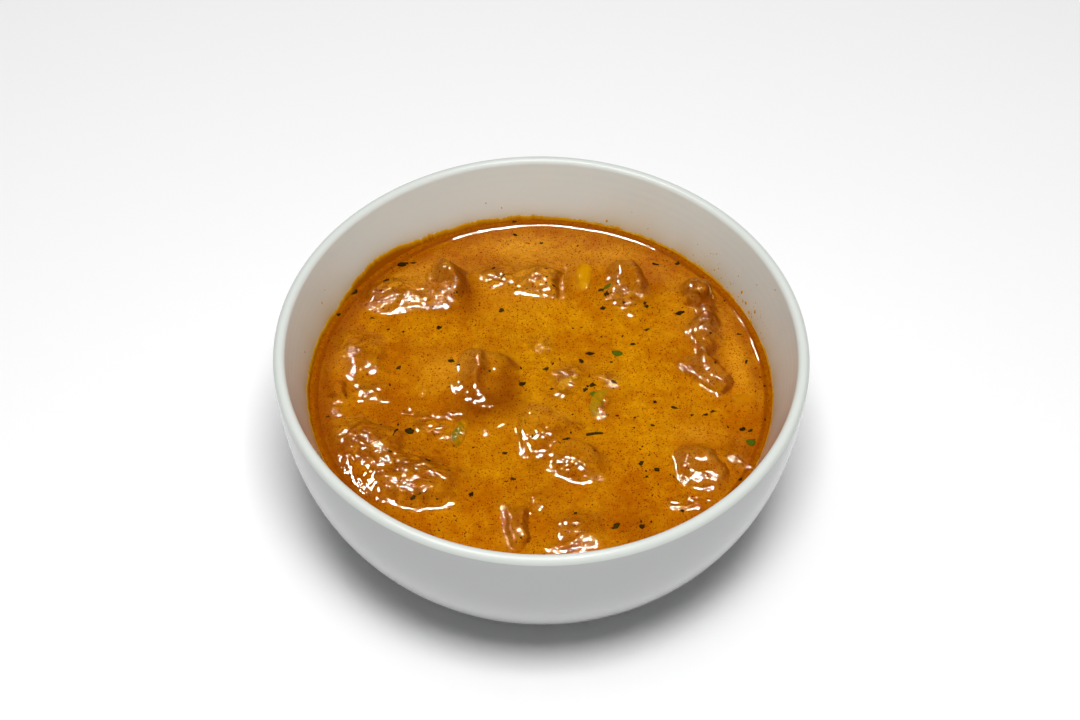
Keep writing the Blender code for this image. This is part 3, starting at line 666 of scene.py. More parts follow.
def curry(name, meat):
    # Masala sauce of tomato, cream and ground spice, simmered until its oil comes up: saturated orange to
    # gold, slightly clear, wet and glossy, full of specks of ground chilli; on the lamb it thins over
    # browned meat.
    material, tree, shader = newMaterial(name, {
        "Roughness": 0.5, "IOR": 1.4, "Specular IOR Level": 0.0,
        "Coat Roughness": 0.03, "Coat IOR": 1.45, "Subsurface Weight": 0.08,
        "Subsurface Radius": (1.0, 0.35, 0.05), "Subsurface Scale": 0.0012})
    place = addNode(tree, "TexCoord", {}, "Object")
    # noises by size in metres and detail
    broad, small, grain, dry, seared = (
        addNode(tree, "TexNoise", {"Scale": 1 / size, "Detail": detail, "Vector": place})
        for size, detail in ((0.009, 2), (0.0028, 2), (0.0008, 2), (0.0009, 2), (0.0018, 3)))
    amount = {field: addNode(tree, "Attribute", {"attribute_name": field}, "Fac")
              for field in ("gold", "cream", "brownAndShade", "rough", "crust", "meat", "fat")}
    share = addNode(tree, "Math", {"operation": "MULTIPLY", 0: small, 1: 0.4})
    drift = addNode(tree, "Math", {"operation": "MULTIPLY_ADD", 0: broad, 1: 0.6, 2: share})
    drift, grain, dry, seared = (
        addNode(tree, "MapRange", {"Value": value, "From Min": low, "From Max": high, "To Max": most})
        for value, low, high, most in (
            (drift, 0.38, 0.62, 1.0), (grain, 0.42, 0.68, 0.32),
            (dry, 0.4, 0.6, 1.0), (seared, 0.35, 0.65, 1.0)))
    golden, dried, browned = (
        addNode(tree, "Mix", {"data_type": "RGBA", 0: blot, 6: first, 7: second}, 2)
        for blot, first, second in (
            (drift, "#bb7200", "#d29006"), (dry, "#8a4600", "#985400"), (seared, "#8a4a0a", "#b27626")))
    # curds too small for the mesh, waves of 2.8 and 1.6 mm drawn out from left to right, strong where it is
    # craggy, with painted shade darkening the hollows between them
    wide = addNode(tree, "Mapping", {"Scale": (0.8, 1.1, 1.0), "Vector": place})
    large, little = (
        addNode(tree, "TexNoise", {"Scale": 1 / size, "Detail": 0, "Distortion": 0.9, "Vector": wide})
        for size in (0.0028, 0.0016))
    lumps = addNode(tree, "Math", {"operation": "MULTIPLY_ADD", 0: little, 1: 0.2, 2: large})
    rough = addNode(tree, "Math", {"operation": "ADD", 0: amount["rough"], 1: 0.02})
    curds = addNode(tree, "Math", {"operation": "MULTIPLY", 0: lumps, 1: rough})
    hollowShade = addNode(tree, "MapRange", {"Value": lumps, "From Min": 0.72, "From Max": 0.56, "To Max": 0.6})
    hollowShade = addNode(tree, "Math", {"operation": "MULTIPLY", 0: hollowShade, 1: amount["rough"]})
    # ground chilli: dots of up to 0.5 mm, and coarser ones of up to 0.65 mm, one to a cell and only in some
    specks = []
    for size, reach, chance, most in ((0.0008, 0.32, 0.7, 0.8), (0.0018, 0.18, 0.5, 0.9)):
        distance = addNode(tree, "TexVoronoi", {"Scale": 1 / size, "Vector": place}, "Distance")
        pick = addNode(tree, "SeparateColor", {"Color": distance.node.outputs["Color"]})
        chosen = addNode(tree, "Math", {"operation": "LESS_THAN", 0: pick, 1: chance})
        dot = addNode(tree, "MapRange", {
            "Value": distance, "From Min": reach, "From Max": reach * 0.55, "To Max": most})
        specks.append(addNode(tree, "Math", {"operation": "MULTIPLY", 0: dot, 1: chosen}))
    # the colours laid over one another, each an amount and the colour that shows where that amount is 1
    # the brown layer carries painted shade and the cream layer some painted light
    layers = [(drift, "#be7804"), (amount["gold"], golden), (amount["cream"], "#dc961c"), (grain, "#964a00"),
              (amount["brownAndShade"], "#803c00"), (amount["crust"], dried)]
    if meat:
        layers += [(amount["meat"], browned), (amount["fat"], "#d9b04c")]
    # painted shade in the hollows between the curds, then the chilli specks
    layers += [(hollowShade, "#783800"), (specks[0], "#7c2600"), (specks[1], "#541a00")]
    colour = "#a85a00"
    for share, over in layers:
        colour = addNode(tree, "Mix", {"data_type": "RGBA", 0: share, 6: colour, 7: over}, 2)
    bump = addNode(tree, "Bump", {"Strength": 1.0, "Distance": 0.0011, "Height": curds})
    # the dried edge at the wall has lost its gloss
    gloss = addNode(tree, "MapRange", {"Value": amount["crust"], "From Min": 1.0, "From Max": 0.0,
                                       "To Max": 0.28 if meat else 0.32})
    setNode(tree, shader, {"Base Color": colour, "Coat Weight": gloss, "Normal": bump, "Coat Normal": bump})
    return material


def makeSauce(material):
    # one sheet over a square grid bent to a disc, closed down the wall and over the bowl's floor
    count, into = sauce["grid"], sauce["intoWall"]
    side = np.linspace(-1, 1, count)
    a, b = np.meshgrid(side, side, indexing="ij")
    wide = np.abs(a) > np.abs(b)
    radius = np.where(wide, a, b)
    share = np.divide(np.where(wide, b, a), radius, out=np.zeros_like(a), where=radius != 0) * np.pi / 4
    angle = np.where(wide, share, np.pi / 2 - share)
    out = np.sin(np.abs(radius) * sauce["crowding"]) / math.sin(sauce["crowding"]) * np.sign(radius)
    x, y = ((out * wallRadius(sauceLevel) * way).ravel() for way in (np.cos(angle), np.sin(angle)))
    height = sauceSkin(x, y)
    covered = np.zeros(len(x))
    for chunk in chunks:
        covered = np.maximum(covered, ramp(height - chunkTop(chunk, *pulled(x, y)), 1.0, 0.6))
    sheet = np.stack([x, y, sauceLevel + height - sauce["sunk"] * covered], -1)

    # the outermost ring reaches just into the wall at its own height
    number = np.arange(count * count).reshape(count, count)
    rim = np.concatenate([number[:-1, 0], number[-1, :-1], number[:0:-1, -1], number[0, :0:-1]])
    rimTurn = np.arctan2(sheet[rim, 1], sheet[rim, 0])
    sheet[rim] = aroundAxis(wallRadius(sheet[rim, 2]) + into, rimTurn, sheet[rim, 2])
    wall = insideCurve(6)
    wall[0, 1] -= 1.0
    under = [aroundAxis(r + into, rimTurn, z - into) for r, z in wall]
    points = np.vstack([sheet, *under, (0, 0, bowl["floorLevel"] - into)])
    faces = [gridFaces(count, count, closedColumns=False)]
    rings = [rim] + [np.arange(len(rim)) + len(sheet) + k * len(rim) for k in range(len(under))]
    for upper, lower in zip(rings, rings[1:]):
        faces.append(np.stack([upper, lower, np.roll(lower, -1), np.roll(upper, -1)], -1))
    faces.append(fanFaces(len(points) - 1, rings[-1])[:, ::-1])
    # the sheet and its skirt have to wind the same way
    if volumeOf(sheet, faces[:1]) * volumeOf(points, faces[1:]) < 0:
        faces[0] = faces[0][:, ::-1]
    fields = sauceFields(points[:, 0], points[:, 1])
    addPiece("sauce_surface", points, faces, material, ["sauce"], fields)


# how much browned meat shows through the sauce on top of a chunk
bareMeat = {
    "lamb_01": 0.12, "lamb_10": 0.55, "lamb_11": 0.5, "lamb_12": 0.45, "lamb_13": 0.45, "lamb_09": 0.2,
    "lamb_02": 0.12, "lamb_15": 0.15, "others": 0.08,
}
# bits of pale fat at the edges of the meat: x0, y0, x1, y1, width, amount
fatPlaces = (
    (53.6, 36.6, 55.4, 34.6, 0.9, 1), (53.0, 32.6, 53.8, 28.4, 1.5, 1), (52.0, 37.4, 53.4, 36.2, 0.8, 1),
)


def makeLamb(chunk, material):
    # the chunk's own skin, lifted on to the common surface down to 0.9 mm under it, then left to sink
    # beneath it
    points = chunk.skin(sphereGrid(chunkForm["along"], chunkForm["around"]))
    x, y, height = points.T
    over = sauceSkin(x, y) - height
    lift = ramp(over, 2.2, 0.9) * (height > chunk.middle)
    meat = bareMeat.get(chunk.name, bareMeat["others"]) * ramp(height, 0.25 * chunk.rise, 0.8 * chunk.rise)
    meat = meat * (0.6 + 0.8 * ramp(softNoise(x, y, 2.6, 41), -0.4, 0.4))
    points = np.stack([x, y, sauceLevel + height + lift * (over + 0.03)], -1)
    fields = sauceFields(x, y)
    fields["meat"] = np.clip(meat, 0, 1)
    fields["fat"] = ramp(np.clip(summed(stroke, fatPlaces, x, y), 0, 1), 0.35, 0.7)
    faces = tubeFaces(chunkForm["along"], chunkForm["around"])
    addPiece("stewed_" + chunk.name, points, faces, material, [chunk.name], fields)


# node: x, y, length, width, thickness, turn, bend along the length and roll about it in degrees, height of
# the middle; how high the sauce still coats it, slot, and the two colours of its flesh
vegetables = {
    "green_pepper": (
        (-23.8, -18.6, 10.6, 4.8, 2.2, 72, 35, 24, 1.0),
        1.4, "green_pepper", "#645800", "#807000"),
    "yellow_pepper": (
        (12.6, 44.6, 12.0, 5.4, 2.6, 84, 40, -12, 1.3),
        1.1, "yellow_pepper", "#d09400", "#c07c00"),
    "pepper_bit": (
        (61.0, -4.2, 6.0, 4.2, 1.8, 20, 30, 10, 0.6),
        1.7, "yellow_pepper", "#bd8200", "#ab6e00"),
    "onion_curl": (
        (17.2, -5.6, 15.0, 4.2, 1.3, 70, 130, 30, 0.6),
        0.6, "onion", "#966e04", "#b0820c"),
    "onion_strip": (
        (8.4, 1.8, 12.0, 3.4, 1.2, 46, 60, 20, 0.7),
        0.6, "onion", "#c99612", "#c28806"),
    "onion_bit": (
        (-35.4, -3.4, 5.0, 3.2, 1.4, 76, 30, 8, 0.8),
        0.9, "onion", "#bf8c1c", "#b47c10"),
}
slab = {"stations": 40, "around": 28, "squareness": 3.2, "endTaper": 0.8, "sideTaper": 0.5, "ripple": 0.16}


def makeVegetable(node, row, coating, material):
    # a rounded oblong section carried along an arc and narrowed at both ends, then rolled, turned and laid
    # in the sauce
    x, y, length, width, thick, turn, bend, roll, rise = row
    along = np.sin(np.linspace(-np.pi / 2, np.pi / 2, slab["stations"] + 2)[1:-1])[:, None]
    phase = np.arange(slab["around"]) * 2 * np.pi / slab["around"]
    across, up = (np.sign(wave) * np.abs(wave) ** (2 / slab["squareness"])
                  for wave in (np.cos(phase), np.sin(phase)))
    end = np.sqrt(1 - slab["endTaper"] * along ** 4) * (1 - np.abs(along) ** 6) ** 0.5
    arc = math.radians(bend)
    radius = length / arc
    angle = along / 2 * arc
    ripple = softNoise(along * 3 + 7 * np.cos(phase), along * 0 + 3 * np.sin(phase), 1.5, 51)
    ripple = 1 + slab["ripple"] * ripple
    fromCentre = radius + across * end * width / 2 * ripple
    points = np.stack(np.broadcast_arrays(
        fromCentre * np.sin(angle), fromCentre * np.cos(angle) - radius,
        up * (1 - slab["sideTaper"] * across ** 2) * end * thick / 2 * ripple), -1).reshape(-1, 3)
    tips = [(radius * math.sin(s * arc / 2), radius * math.cos(arc / 2) - radius, 0) for s in (-1, 1)]
    place = Matrix.Translation((x, y, sauceLevel + rise)) @ Matrix.Rotation(math.radians(turn), 4, "Z")
    place = np.array(place @ Matrix.Rotation(math.radians(roll), 4, "X"))
    points = np.vstack([points, *tips]) @ place[:3, :3].T + place[:3, 3]
    # sauce that still coats the piece, thickest low down
    skin = points[:, 2] - sauceLevel - sauceSkin(points[:, 0], points[:, 1])
    coat = ramp(skin + 0.8 * softNoise(points[:, 0], points[:, 1], 1.8, 52), coating, coating - 1.0)
    addPiece(node + "_piece", points, tubeFaces(slab["stations"], slab["around"]), material, [node],
             {"coated": strongest["coat"] * coat})


def vegetable(name, pale, dark):
    # Pepper and onion cooked soft in the sauce: wet, half clear flesh whose colour shows from inside,
    # stained by the sauce that coats it.
    material, tree, shader = newMaterial(name, {
        "Roughness": 0.5, "IOR": 1.4, "Specular IOR Level": 0.0, "Coat Weight": 0.1, "Coat Roughness": 0.04,
        "Coat IOR": 1.45, "Subsurface Weight": 0.3,
        "Subsurface Radius": (1.0, 0.8, 0.2), "Subsurface Scale": 0.0015})
    place = addNode(tree, "TexCoord", {}, "Object")
    fibre = addNode(tree, "TexNoise", {"Scale": 1 / 0.0021, "Detail": 3, "Vector": place})
    coated = addNode(tree, "Attribute", {"attribute_name": "coated"}, "Fac")
    bump = addNode(tree, "Bump", {"Strength": 0.9, "Distance": 0.0013, "Height": fibre})
    colour = pale
    for amount, over in ((fibre, dark), (coated, "#b87002")):
        colour = addNode(tree, "Mix", {"data_type": "RGBA", 0: amount, 6: colour, 7: over}, 2)
    setNode(tree, shader, {"Base Color": colour, "Normal": bump, "Coat Normal": bump})
    return material


# the largest flecks of dried herb: x, y, length, width, turn
flecks = (
    (-59.6, 37.9, 3.1, 2.6, 40), (-44.4, 50.2, 3.2, 1.9, 10), (-41.2, 50.4, 1.9, 0.9, 0),
    (-49.4, 41.9, 2.5, 1.7, 20), (-46.6, 42.2, 1.5, 0.9, 30), (-31.9, 22.5, 1.8, 1.4, 0),
    (-9.4, 69.2, 1.4, 1.0, 0), (-12.5, 30.7, 2.0, 1.5, 35), (-27.4, 8.3, 1.9, 1.4, 0),
    (-43.6, 6.5, 1.7, 1.3, 40), (-39.1, -18.6, 2.8, 2.5, 20), (-43.2, -20.2, 4.4, 0.8, 76),
    (-33.2, -30.6, 1.9, 1.1, -20), (-37.0, -44.7, 2.0, 1.0, 25), (-20.1, -41.9, 1.8, 1.3, 60),
    (-10.5, -26.1, 1.7, 1.1, 10), (-7.9, -35.4, 1.8, 1.2, -10), (-5.8, -0.1, 2.5, 1.5, 35),
    (35.8, 51.1, 2.7, 1.2, -15), (42.9, 52.1, 1.7, 1.2, 20), (32.6, 32.3, 1.4, 1.2, 0),
    (19.1, 31.7, 1.7, 1.5, 0), (20.2, 37.0, 2.2, 1.6, 60), (18.6, 38.8, 1.7, 1.3, 10),
    (43.0, 29.6, 2.6, 1.6, 20), (32.5, 23.2, 2.0, 0.9, 10), (28.2, 17.8, 2.4, 0.8, 5),
    (15.0, 13.9, 2.6, 1.3, 10), (12.2, 10.6, 1.9, 1.5, -40), (1.5, 6.8, 1.9, 1.2, 15),
    (22.3, 2.0, 2.0, 1.0, -30), (15.6, 0.7, 2.5, 1.5, 20), (13.4, -1.2, 1.8, 1.3, 50),
    (40.4, -7.2, 2.9, 1.0, -20), (34.7, -5.0, 1.3, 1.0, 50), (52.1, -8.6, 1.7, 0.9, 20),
    (50.0, -9.8, 1.5, 1.0, 0), (45.7, -10.2, 1.2, 0.9, 30), (60.6, -15.4, 2.3, 1.5, 15),
    (63.0, -15.8, 1.6, 0.8, 40), (30.0, -28.8, 1.8, 1.5, 0), (34.7, -31.4, 2.0, 1.6, -35),
    (7.7, -21.2, 2.2, 1.3, 10), (22.3, -52.5, 2.5, 1.8, 40), (29.9, -52.4, 1.9, 1.5, -20),
    (41.7, -46.4, 1.3, 1.1, 0), (63.0, 10.2, 2.0, 0.8, 80), (61.3, 22.0, 1.3, 0.9, 0),
    (10.5, -48.5, 1.3, 1.0, 0), (-15.5, 47.8, 1.4, 0.9, 10), (-9.0, 63.8, 1.7, 1.0, -30),
    (-0.4, 60.2, 1.3, 0.9, 0), (-47.7, 22.3, 1.3, 0.8, 20), (-43.0, 21.4, 1.2, 0.8, 0),
    (-63.4, 28.2, 1.5, 1.1, 60), (59.2, -34.6, 1.5, 1.0, 30), (25.6, 33.6, 1.2, 0.9, 0),
    (23.0, -10.6, 1.2, 0.8, 0), (3.2, -1.4, 1.4, 0.9, 20),
)
# small torn leaves of fresh herb, still green
leaves = (
    (23.3, 14.0, 3.4, 2.2, -15), (63.0, -20.6, 3.5, 2.3, 25), (20.4, 39.8, 2.4, 1.6, 30),
    (16.2, -2.6, 2.8, 1.4, 15),
)
# the smaller ones, lengths mostly near the short end, and widths as shares of them
scatter = {
    "herb": {"count": 150, "within": 69.0, "length": (0.5, 1.3), "width": (0.4, 0.75), "seed": 81},
    "spice": {"count": 9000, "within": 69.0, "length": (0.25, 0.6), "width": (0.5, 0.95), "seed": 82},
}
# how each kind is made: points round its outline, rings of them, thickness, unevenness and curl
flakes = {
    "herb_flakes": {"sides": 11, "rings": 2, "thick": 0.12, "uneven": 0.36, "curl": 0.12, "seed": 83},
    "herb_leaves": {"sides": 12, "rings": 3, "thick": 0.16, "uneven": 0.2, "curl": 0.35, "seed": 84},
    "chilli_grains": {"sides": 6, "rings": 1, "thick": 0.09, "uneven": 0.25, "curl": 0.0, "seed": 85},
}
rootDepth = 0.35


def scattered(count, within, length, width, seed):
    # seeded places, even over the disc of sauce, as rows of x, y, length, width and turn
    rng = np.random.default_rng(seed)
    out = within * np.sqrt(rng.uniform(0, 1, count))
    turn = rng.uniform(0, 2 * np.pi, count)
    long = length[0] + (length[1] - length[0]) * rng.uniform(0, 1, count) ** 2
    wide = long * rng.uniform(*width, count)
    return np.stack([out * np.cos(turn), out * np.sin(turn), long, wide, rng.uniform(0, 180, count)], -1)


def makeFlakes(name, rows, material, nodes=()):
    # each flake is an uneven outline filled by rings towards its middle, draped on the surface with a domed
    # top and closed underneath by a point sunk in the sauce; all flakes of a kind are one mesh
    kind = flakes[name]
    sides, rings, count = kind["sides"], kind["rings"], len(rows)
    middleX, middleY, length, width, turn = np.asarray(rows, float).T[:, :, None, None]
    turn = np.radians(turn)
    rng = np.random.default_rng(kind["seed"])
    uneven = 1 + rng.uniform(-kind["uneven"], kind["uneven"], (count, 1, sides))
    share = np.linspace(1, 0, rings + 1)[:-1][None, :, None]
    phase = np.arange(sides) * 2 * np.pi / sides
    u, v = share * uneven * np.cos(phase) * length / 2, share * uneven * np.sin(phase) * width / 2
    x, y = middleX + u * np.cos(turn) - v * np.sin(turn), middleY + u * np.sin(turn) + v * np.cos(turn)
    curled = kind["curl"] * rng.uniform(-0.2, 1, (count, 1, 1)) * (2 * u / length) ** 2
    dome = kind["thick"] * (0.35 + 0.65 * (1 - share ** 2)) + curled
    skin = sauceLevel + sauceSkin(x.ravel(), y.ravel()).reshape(x.shape)
    middle = np.stack([middleX, middleY, sauceLevel + sauceSkin(middleX, middleY)], -1)[:, 0]
    points = np.concatenate([np.stack([x, y, skin + dome], -1).reshape(count, rings * sides, 3),
                             middle + (0, 0, kind["thick"]), middle - (0, 0, rootDepth)], 1)
    shade = np.repeat(rng.uniform(0, 1, count), points.shape[1])
    faces = domeFaces(count, rings, sides)
    addPiece(name, points.reshape(-1, 3), faces, material, nodes, {"shade": shade})


def driedHerb(name, dark, light, roughness):
    # Dried fenugreek and coriander leaf and ground chilli, soaked: each flake a little different, and matt.
    material, tree, shader = newMaterial(name, {
        "Roughness": roughness, "IOR": 1.4, "Specular IOR Level": 0.0})
    place = addNode(tree, "TexCoord", {}, "Object")
    shade = addNode(tree, "Attribute", {"attribute_name": "shade"}, "Fac")
    vein = addNode(tree, "TexNoise", {"Scale": 1 / 0.0006, "Detail": 2, "Vector": place})
    tone = addNode(tree, "Math", {"operation": "ADD", 0: shade, 1: vein})
    tone = addNode(tree, "Math", {"operation": "MULTIPLY", 0: tone, 1: 0.6})
    setNode(tree, shader, {
        "Base Color": addNode(tree, "Mix", {"data_type": "RGBA", 0: tone, 6: dark, 7: light}, 2),
        "Normal": addNode(tree, "Bump", {"Strength": 0.5, "Distance": 0.0001, "Height": vein})})
    return material


stalk = {"from": (13.6, -18.9), "to": (19.0, -17.7), "radius": 0.5, "thinner": 0.7, "bow": 0.25, "rise": 0.15,
         "around": 16, "stations": 24}


def makeStalk(material):
    # a round section that thins along a faintly bowed line, lying half in the sauce, with both ends rounded
    along = np.linspace(0, 1, stalk["stations"])[:, None]
    start, end = np.array(stalk["from"]), np.array(stalk["to"])
    line = start + (end - start) * along
    ux, uy = (end - start) / np.linalg.norm(end - start)
    bow = stalk["bow"] * np.sin(np.pi * along[:, 0])
    rest = sauceLevel + sauceSkin(line[:, 0], line[:, 1]) + stalk["rise"]
    middle = np.stack([line[:, 0] - uy * bow, line[:, 1] + ux * bow, rest], -1)
    phase = np.arange(stalk["around"]) * 2 * np.pi / stalk["around"]
    radius = stalk["radius"] * (1 + (stalk["thinner"] - 1) * along) * (1 - np.abs(2 * along - 1) ** 10) ** 0.5
    radius = radius * (1 + 0.08 * np.sin(along * 40))
    ring = np.stack([-uy * radius * np.cos(phase), ux * radius * np.cos(phase), radius * np.sin(phase)], -1)
    points = np.vstack([(middle[1:-1, None] + ring[1:-1]).reshape(-1, 3), middle[0], middle[-1]])
    addPiece("herb_stalk_piece", points, tubeFaces(stalk["stations"] - 2, stalk["around"]), material,
             ["herb_stalk"], {"shade": np.full(len(points), 0.6)})


# The dried rim of sauce on the wall: its mean height over the sauce level, what it has more away from the
# right, and the patches where it is taller or lower, each a direction and a reach in degrees and a height.
# Its wander and each of its teeth are a depth, waves round the bowl and a seed.
film = {
    "height": (1.45, 0.9),
    "patches": ((137, 11, 2.5), (155, 6, -0.6), (22, 9, -0.5), (184, 8, 0.6)),
    "wander": (0.42, 26, 65),
    "teeth": ((0.5, 66, 62), (0.32, 150, 63), (0.24, 330, 66)),
    "least": 0.9,
    "columns": 1440,
    "rows": 9,
    "thick": 0.16,
    "below": 1.6,
    "intoWall": 0.25,
}


def rimHeight(turn):
    # mean height of the dried rim by direction: low at the right, tallest behind on the left, where a thick
    # patch stayed
    degrees = np.degrees(turn) % 360
    low, more = film["height"]
    tall = low + more * ramp(degrees, 70, 110) * ramp(degrees, 330, 280)
    return tall + sum(height * np.exp(-((degrees - middle) / reach) ** 2)
                      for middle, reach, height in film["patches"])


def filmEdge(turn):
    # height of the rim's torn upper edge: the mean height with a slow wander and teeth of three sizes, here
    # stronger and there weaker
    strength = 0.75 + 1.0 * ringNoise(turn, 14, 67)
    torn = sum(depth * ringNoise(turn, waves, seed) for depth, waves, seed in film["teeth"])
    depth, waves, seed = film["wander"]
    return np.maximum(rimHeight(turn) + depth * ringNoise(turn, waves, seed) + strength * torn, film["least"])


def makeFilm(material):
    # a closed thin ring: up the wall from under the surface to the torn edge, and back inside the wall
    turn = np.arange(film["columns"]) * 2 * np.pi / film["columns"]
    edge = filmEdge(turn)
    share = np.linspace(0, 1, film["rows"])[:, None]
    height = -film["below"] * (1 - share) + edge * share
    wobble = 1 + 0.5 * softNoise(turn * 70, height * 2.0, 1.5, 64)
    cover = film["thick"] * wobble * (1 - share ** 5) * ramp(share, -0.2, 0.3) - 0.02 * (share > 0.98)
    radius = wallRadius(sauceLevel + np.vstack([height, height[::-1]]))
    radius = radius + np.vstack([-cover, np.full(cover.shape, film["intoWall"])])
    height = np.vstack([height, height[::-1]])
    points = aroundAxis(radius, turn, sauceLevel + height).reshape(-1, 3)
    faces = [gridFaces(2 * film["rows"], film["columns"], closedRows=True)]
    addPiece("dried_sauce_rim", points, faces, material, (), {"depth": (edge - height).ravel()})


def driedSauce():
    # Sauce dried in a thin rim on the glaze: brown-orange where thick, mustard and matt at its torn edge.
    material, tree, shader = newMaterial("dried_sauce", {
        "Roughness": 0.6, "IOR": 1.4, "Specular IOR Level": 0.0})
    place = addNode(tree, "TexCoord", {}, "Object")
    depth = addNode(tree, "Attribute", {"attribute_name": "depth"}, "Fac")
    blot = addNode(tree, "TexNoise", {"Scale": 1 / 0.0011, "Detail": 3, "Vector": place})
    thick = addNode(tree, "Math", {"operation": "MULTIPLY_ADD", 0: blot, 1: 1.2, 2: depth})
    thick = addNode(tree, "MapRange", {"Value": thick, "From Min": 1.0, "From Max": 2.5})
    colour = "#b07a04"
    for amount, over in ((blot, "#cc9820"), (thick, "#9a5000")):
        colour = addNode(tree, "Mix", {"data_type": "RGBA", 0: amount, 6: colour, 7: over}, 2)
    setNode(tree, shader, {
        "Base Color": colour,
        "Normal": addNode(tree, "Bump", {"Strength": 0.5, "Distance": 0.00015, "Height": blot})})
    return material


# drops on the inside wall: direction in degrees, height, size
drops = (
    (104.7, 56.1, 0.55), (100.7, 53.6, 0.5), (156.2, 58.6, 0.5), (159.0, 56.6, 0.6), (174.1, 55.0, 0.6),
    (73.2, 50.9, 0.8), (67.0, 56.3, 0.35), (40.5, 51.8, 0.6), (19.8, 65.7, 0.5), (26.1, 60.3, 0.5),
    (29.7, 53.5, 0.9), (27.0, 52.0, 1.0), (22.8, 53.0, 0.9), (24.6, 50.9, 1.1), (62.0, 52.6, 0.4),
)
# the fine spray round those at the right, thickest low down and mostly small
spray = {"count": 110, "turn": (14, 48), "height": (49.8, 57.5), "size": (0.2, 0.55), "seed": 91}
dropForm = {"sides": 12, "rings": (1.0, 0.75, 0.4), "tall": 0.3, "root": 0.3}


def makeDrops(material):
    # low round domes seated on the wall, a little uneven, each closed by a point inside the porcelain
    rng = np.random.default_rng(spray["seed"])
    random = [low + (high - low) * rng.uniform(0, 1, spray["count"]) ** power
              for (low, high), power in ((spray["turn"], 1), (spray["height"], 2), (spray["size"], 2))]
    turn, height, size = np.vstack([drops, np.stack(random, -1)]).T
    turn, half, lean = np.radians(turn), size[:, None, None] / 2, bowl["wallLean"]
    seat = aroundAxis(wallRadius(height), turn, height)
    side = aroundAxis(1, turn + np.pi / 2, 0)
    up = aroundAxis(math.sin(lean), turn, math.cos(lean))
    inwards = aroundAxis(-math.cos(lean), turn, math.sin(lean))
    sides, count = dropForm["sides"], len(size)
    phase = np.arange(sides) * 2 * np.pi / sides
    uneven = 1 + rng.uniform(-0.2, 0.2, (count, 1, sides))
    longer = 1 + rng.uniform(-0.1, 0.7, (count, 1, 1))
    share = np.array(dropForm["rings"])[None, :, None]
    u = half * share * uneven * np.cos(phase)
    v = half * share * uneven * longer * np.sin(phase)
    w = dropForm["tall"] * half * np.sqrt(1 - 0.98 * share ** 2) * np.ones(sides) - 0.02
    domes = seat[:, None, None] + sum(far[..., None] * way[:, None, None]
                                      for far, way in ((u, side), (v, up), (w, inwards)))
    top = seat + dropForm["tall"] * half[:, 0] * inwards
    root = seat - dropForm["root"] * inwards
    points = np.concatenate([domes.reshape(count, -1, 3), top[:, None], root[:, None]], 1)
    depth = np.repeat(rng.uniform(0.0, 0.7, count), points.shape[1])
    faces = domeFaces(count, len(dropForm["rings"]), sides)
    addPiece("sauce_drops", points.reshape(-1, 3), faces, material, (), {"depth": depth})


porcelain = glazedPorcelain()
sauceLook = curry("masala_sauce", False)
lambLook = curry("lamb_in_masala", True)
driedLook = driedSauce()
herbLook = driedHerb("dried_herb", "#160e00", "#423006", 0.6)
leafLook = driedHerb("fresh_herb", "#33400a", "#5f6c10", 0.6)
spiceLook = driedHerb("ground_chilli", "#641c00", "#9c3e00", 0.8)

makeBowl(porcelain)
print("bowl made")
makeSauce(sauceLook)
print("sauce made")
for chunk in chunks:
    makeLamb(chunk, lambLook)
print("lamb made:", len(chunks), "chunks")
for node, (row, coating, slotName, pale, dark) in vegetables.items():
    makeVegetable(node, row, coating, vegetable(node + "_flesh", pale, dark))
makeStalk(herbLook)
print("vegetables made:", len(vegetables))
herbRows = np.vstack([flecks, scattered(**scatter["herb"])])
spiceRows = scattered(**scatter["spice"])
makeFlakes("herb_flakes", herbRows, herbLook, ["sauce"])
makeFlakes("herb_leaves", leaves, leafLook)
makeFlakes("chilli_grains", spiceRows, spiceLook)
print("herbs and spice made:", len(herbRows) + len(leaves) + len(spiceRows))
makeFilm(driedLook)
makeDrops(driedLook)
print("dried rim and drops made")


def makeFloor(half):
    # a plain pale sheet under the bowl
    # Uncoated white card: matt, with hardly any sheen
    material = newMaterial("paper_floor", {
        "Base Color": "#fbfbfb", "Roughness": 0.9, "Specular IOR Level": 0.1})[0]
    mesh = bpy.data.meshes.new("floor")
    corners = [(-half, -half, 0), (half, -half, 0), (half, half, 0), (-half, half, 0)]
    mesh.from_pydata(corners, [], [(0, 1, 2, 3)])
    mesh.materials.append(material)
    floor = bpy.data.objects.new("floor", mesh)
    scene.collection.objects.link(floor)


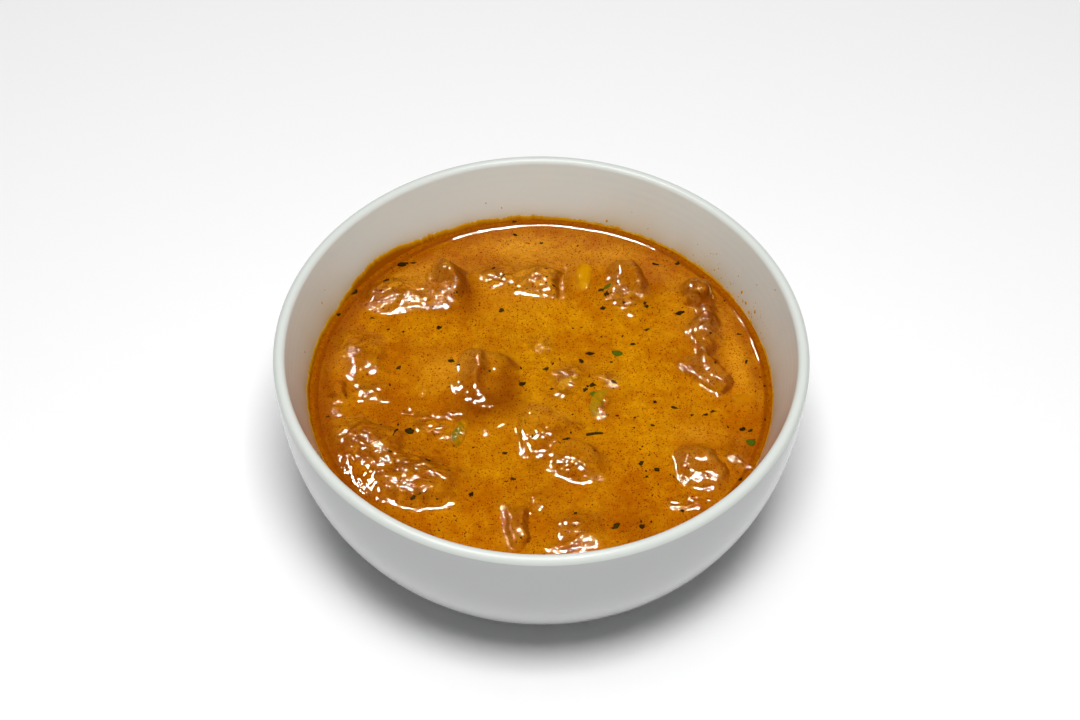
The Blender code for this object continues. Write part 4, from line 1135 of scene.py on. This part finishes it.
def addSoftbox(name, place, width, depth, power, mirroredIn=None, tint=(1, 1, 1)):
    # an area light that faces the middle of the bowl with its width level; it lights every surface, or is
    # only mirrored in some pieces
    light = bpy.data.lights.new(name, "AREA")
    light.shape = "RECTANGLE"
    light.size, light.size_y, light.energy, light.color = width, depth, power, tint
    lamp = bpy.data.objects.new(name, light)
    back = (Vector(place) - Vector((0, 0, 0.05))).normalized()
    across = (Vector((1, 0, 0)) - back.x * back).normalized()
    turn = Matrix((across, back.cross(across), back)).transposed().to_4x4()
    lamp.matrix_world = Matrix.Translation(place) @ turn
    lamp.visible_glossy = mirroredIn is not None
    lamp.visible_diffuse = mirroredIn is None
    scene.collection.objects.link(lamp)
    if mirroredIn is not None:
        lamp.light_linking.receiver_collection = mirroredIn


# the photograph's view: degrees above the table and of tilt, metres from the rim, and the picture's shift
view = {"above": 49.35, "tilt": 0.72, "distance": 0.7172, "lens": 80, "shift": (-1.5 / 1080, -12.6 / 1080)}


def makeCamera():
    # looks along +Y and down, at the middle of the rim
    camera = bpy.data.cameras.new("camera")
    camera.lens, camera.sensor_width = view["lens"], 36
    camera.shift_x, camera.shift_y = view["shift"]
    down = math.radians(view["above"])
    forward = Vector((0, math.cos(down), -math.sin(down)))
    place = Vector((0, 0, bowl["lipLevel"] * mm)) - view["distance"] * forward
    body = bpy.data.objects.new("camera", camera)
    turn = forward.to_track_quat("-Z", "Y").to_matrix().to_4x4()
    turn = turn @ Matrix.Rotation(math.radians(view["tilt"]), 4, "Z")
    body.matrix_world = Matrix.Translation(place) @ turn
    scene.collection.objects.link(body)
    scene.camera = body


makeFloor(4.0)
wetPieces = bpy.data.collections.new("wet pieces")
glazedPieces = bpy.data.collections.new("glazed pieces")
for piece in scene.objects:
    if piece.type == "MESH" and piece.name != "floor":
        (glazedPieces if piece.name == "bowl_glazed" else wetPieces).objects.link(piece)
addSoftbox("key softbox", (0.02, -0.32, 1.0), 0.30, 0.30, 8.0)
addSoftbox("wide softbox", (-0.05, 0.05, 1.4), 1.0, 1.0, 7.2)
addSoftbox("softbox seen in the sauce", (-0.06, -0.09, 1.0), 0.8, 0.04, 112.0, wetPieces, (1, 0.93, 0.76))
addSoftbox("left softbox seen in the sauce", (-0.62, 0.36, 0.75), 0.045, 0.58, 64.0, wetPieces,
           (1, 0.92, 0.76))
addSoftbox("softbox seen in the glaze", (-0.1, 0.0, 1.0), 0.6, 0.6, 6.5, glazedPieces)
world = bpy.data.worlds.new("studio")
world.use_nodes = True
world.node_tree.nodes["Background"].inputs["Color"].default_value = (1, 1, 1, 1)
world.node_tree.nodes["Background"].inputs["Strength"].default_value = 0.08
scene.world = world
scene.view_settings.view_transform = "Standard"
makeCamera()
print("stage made")
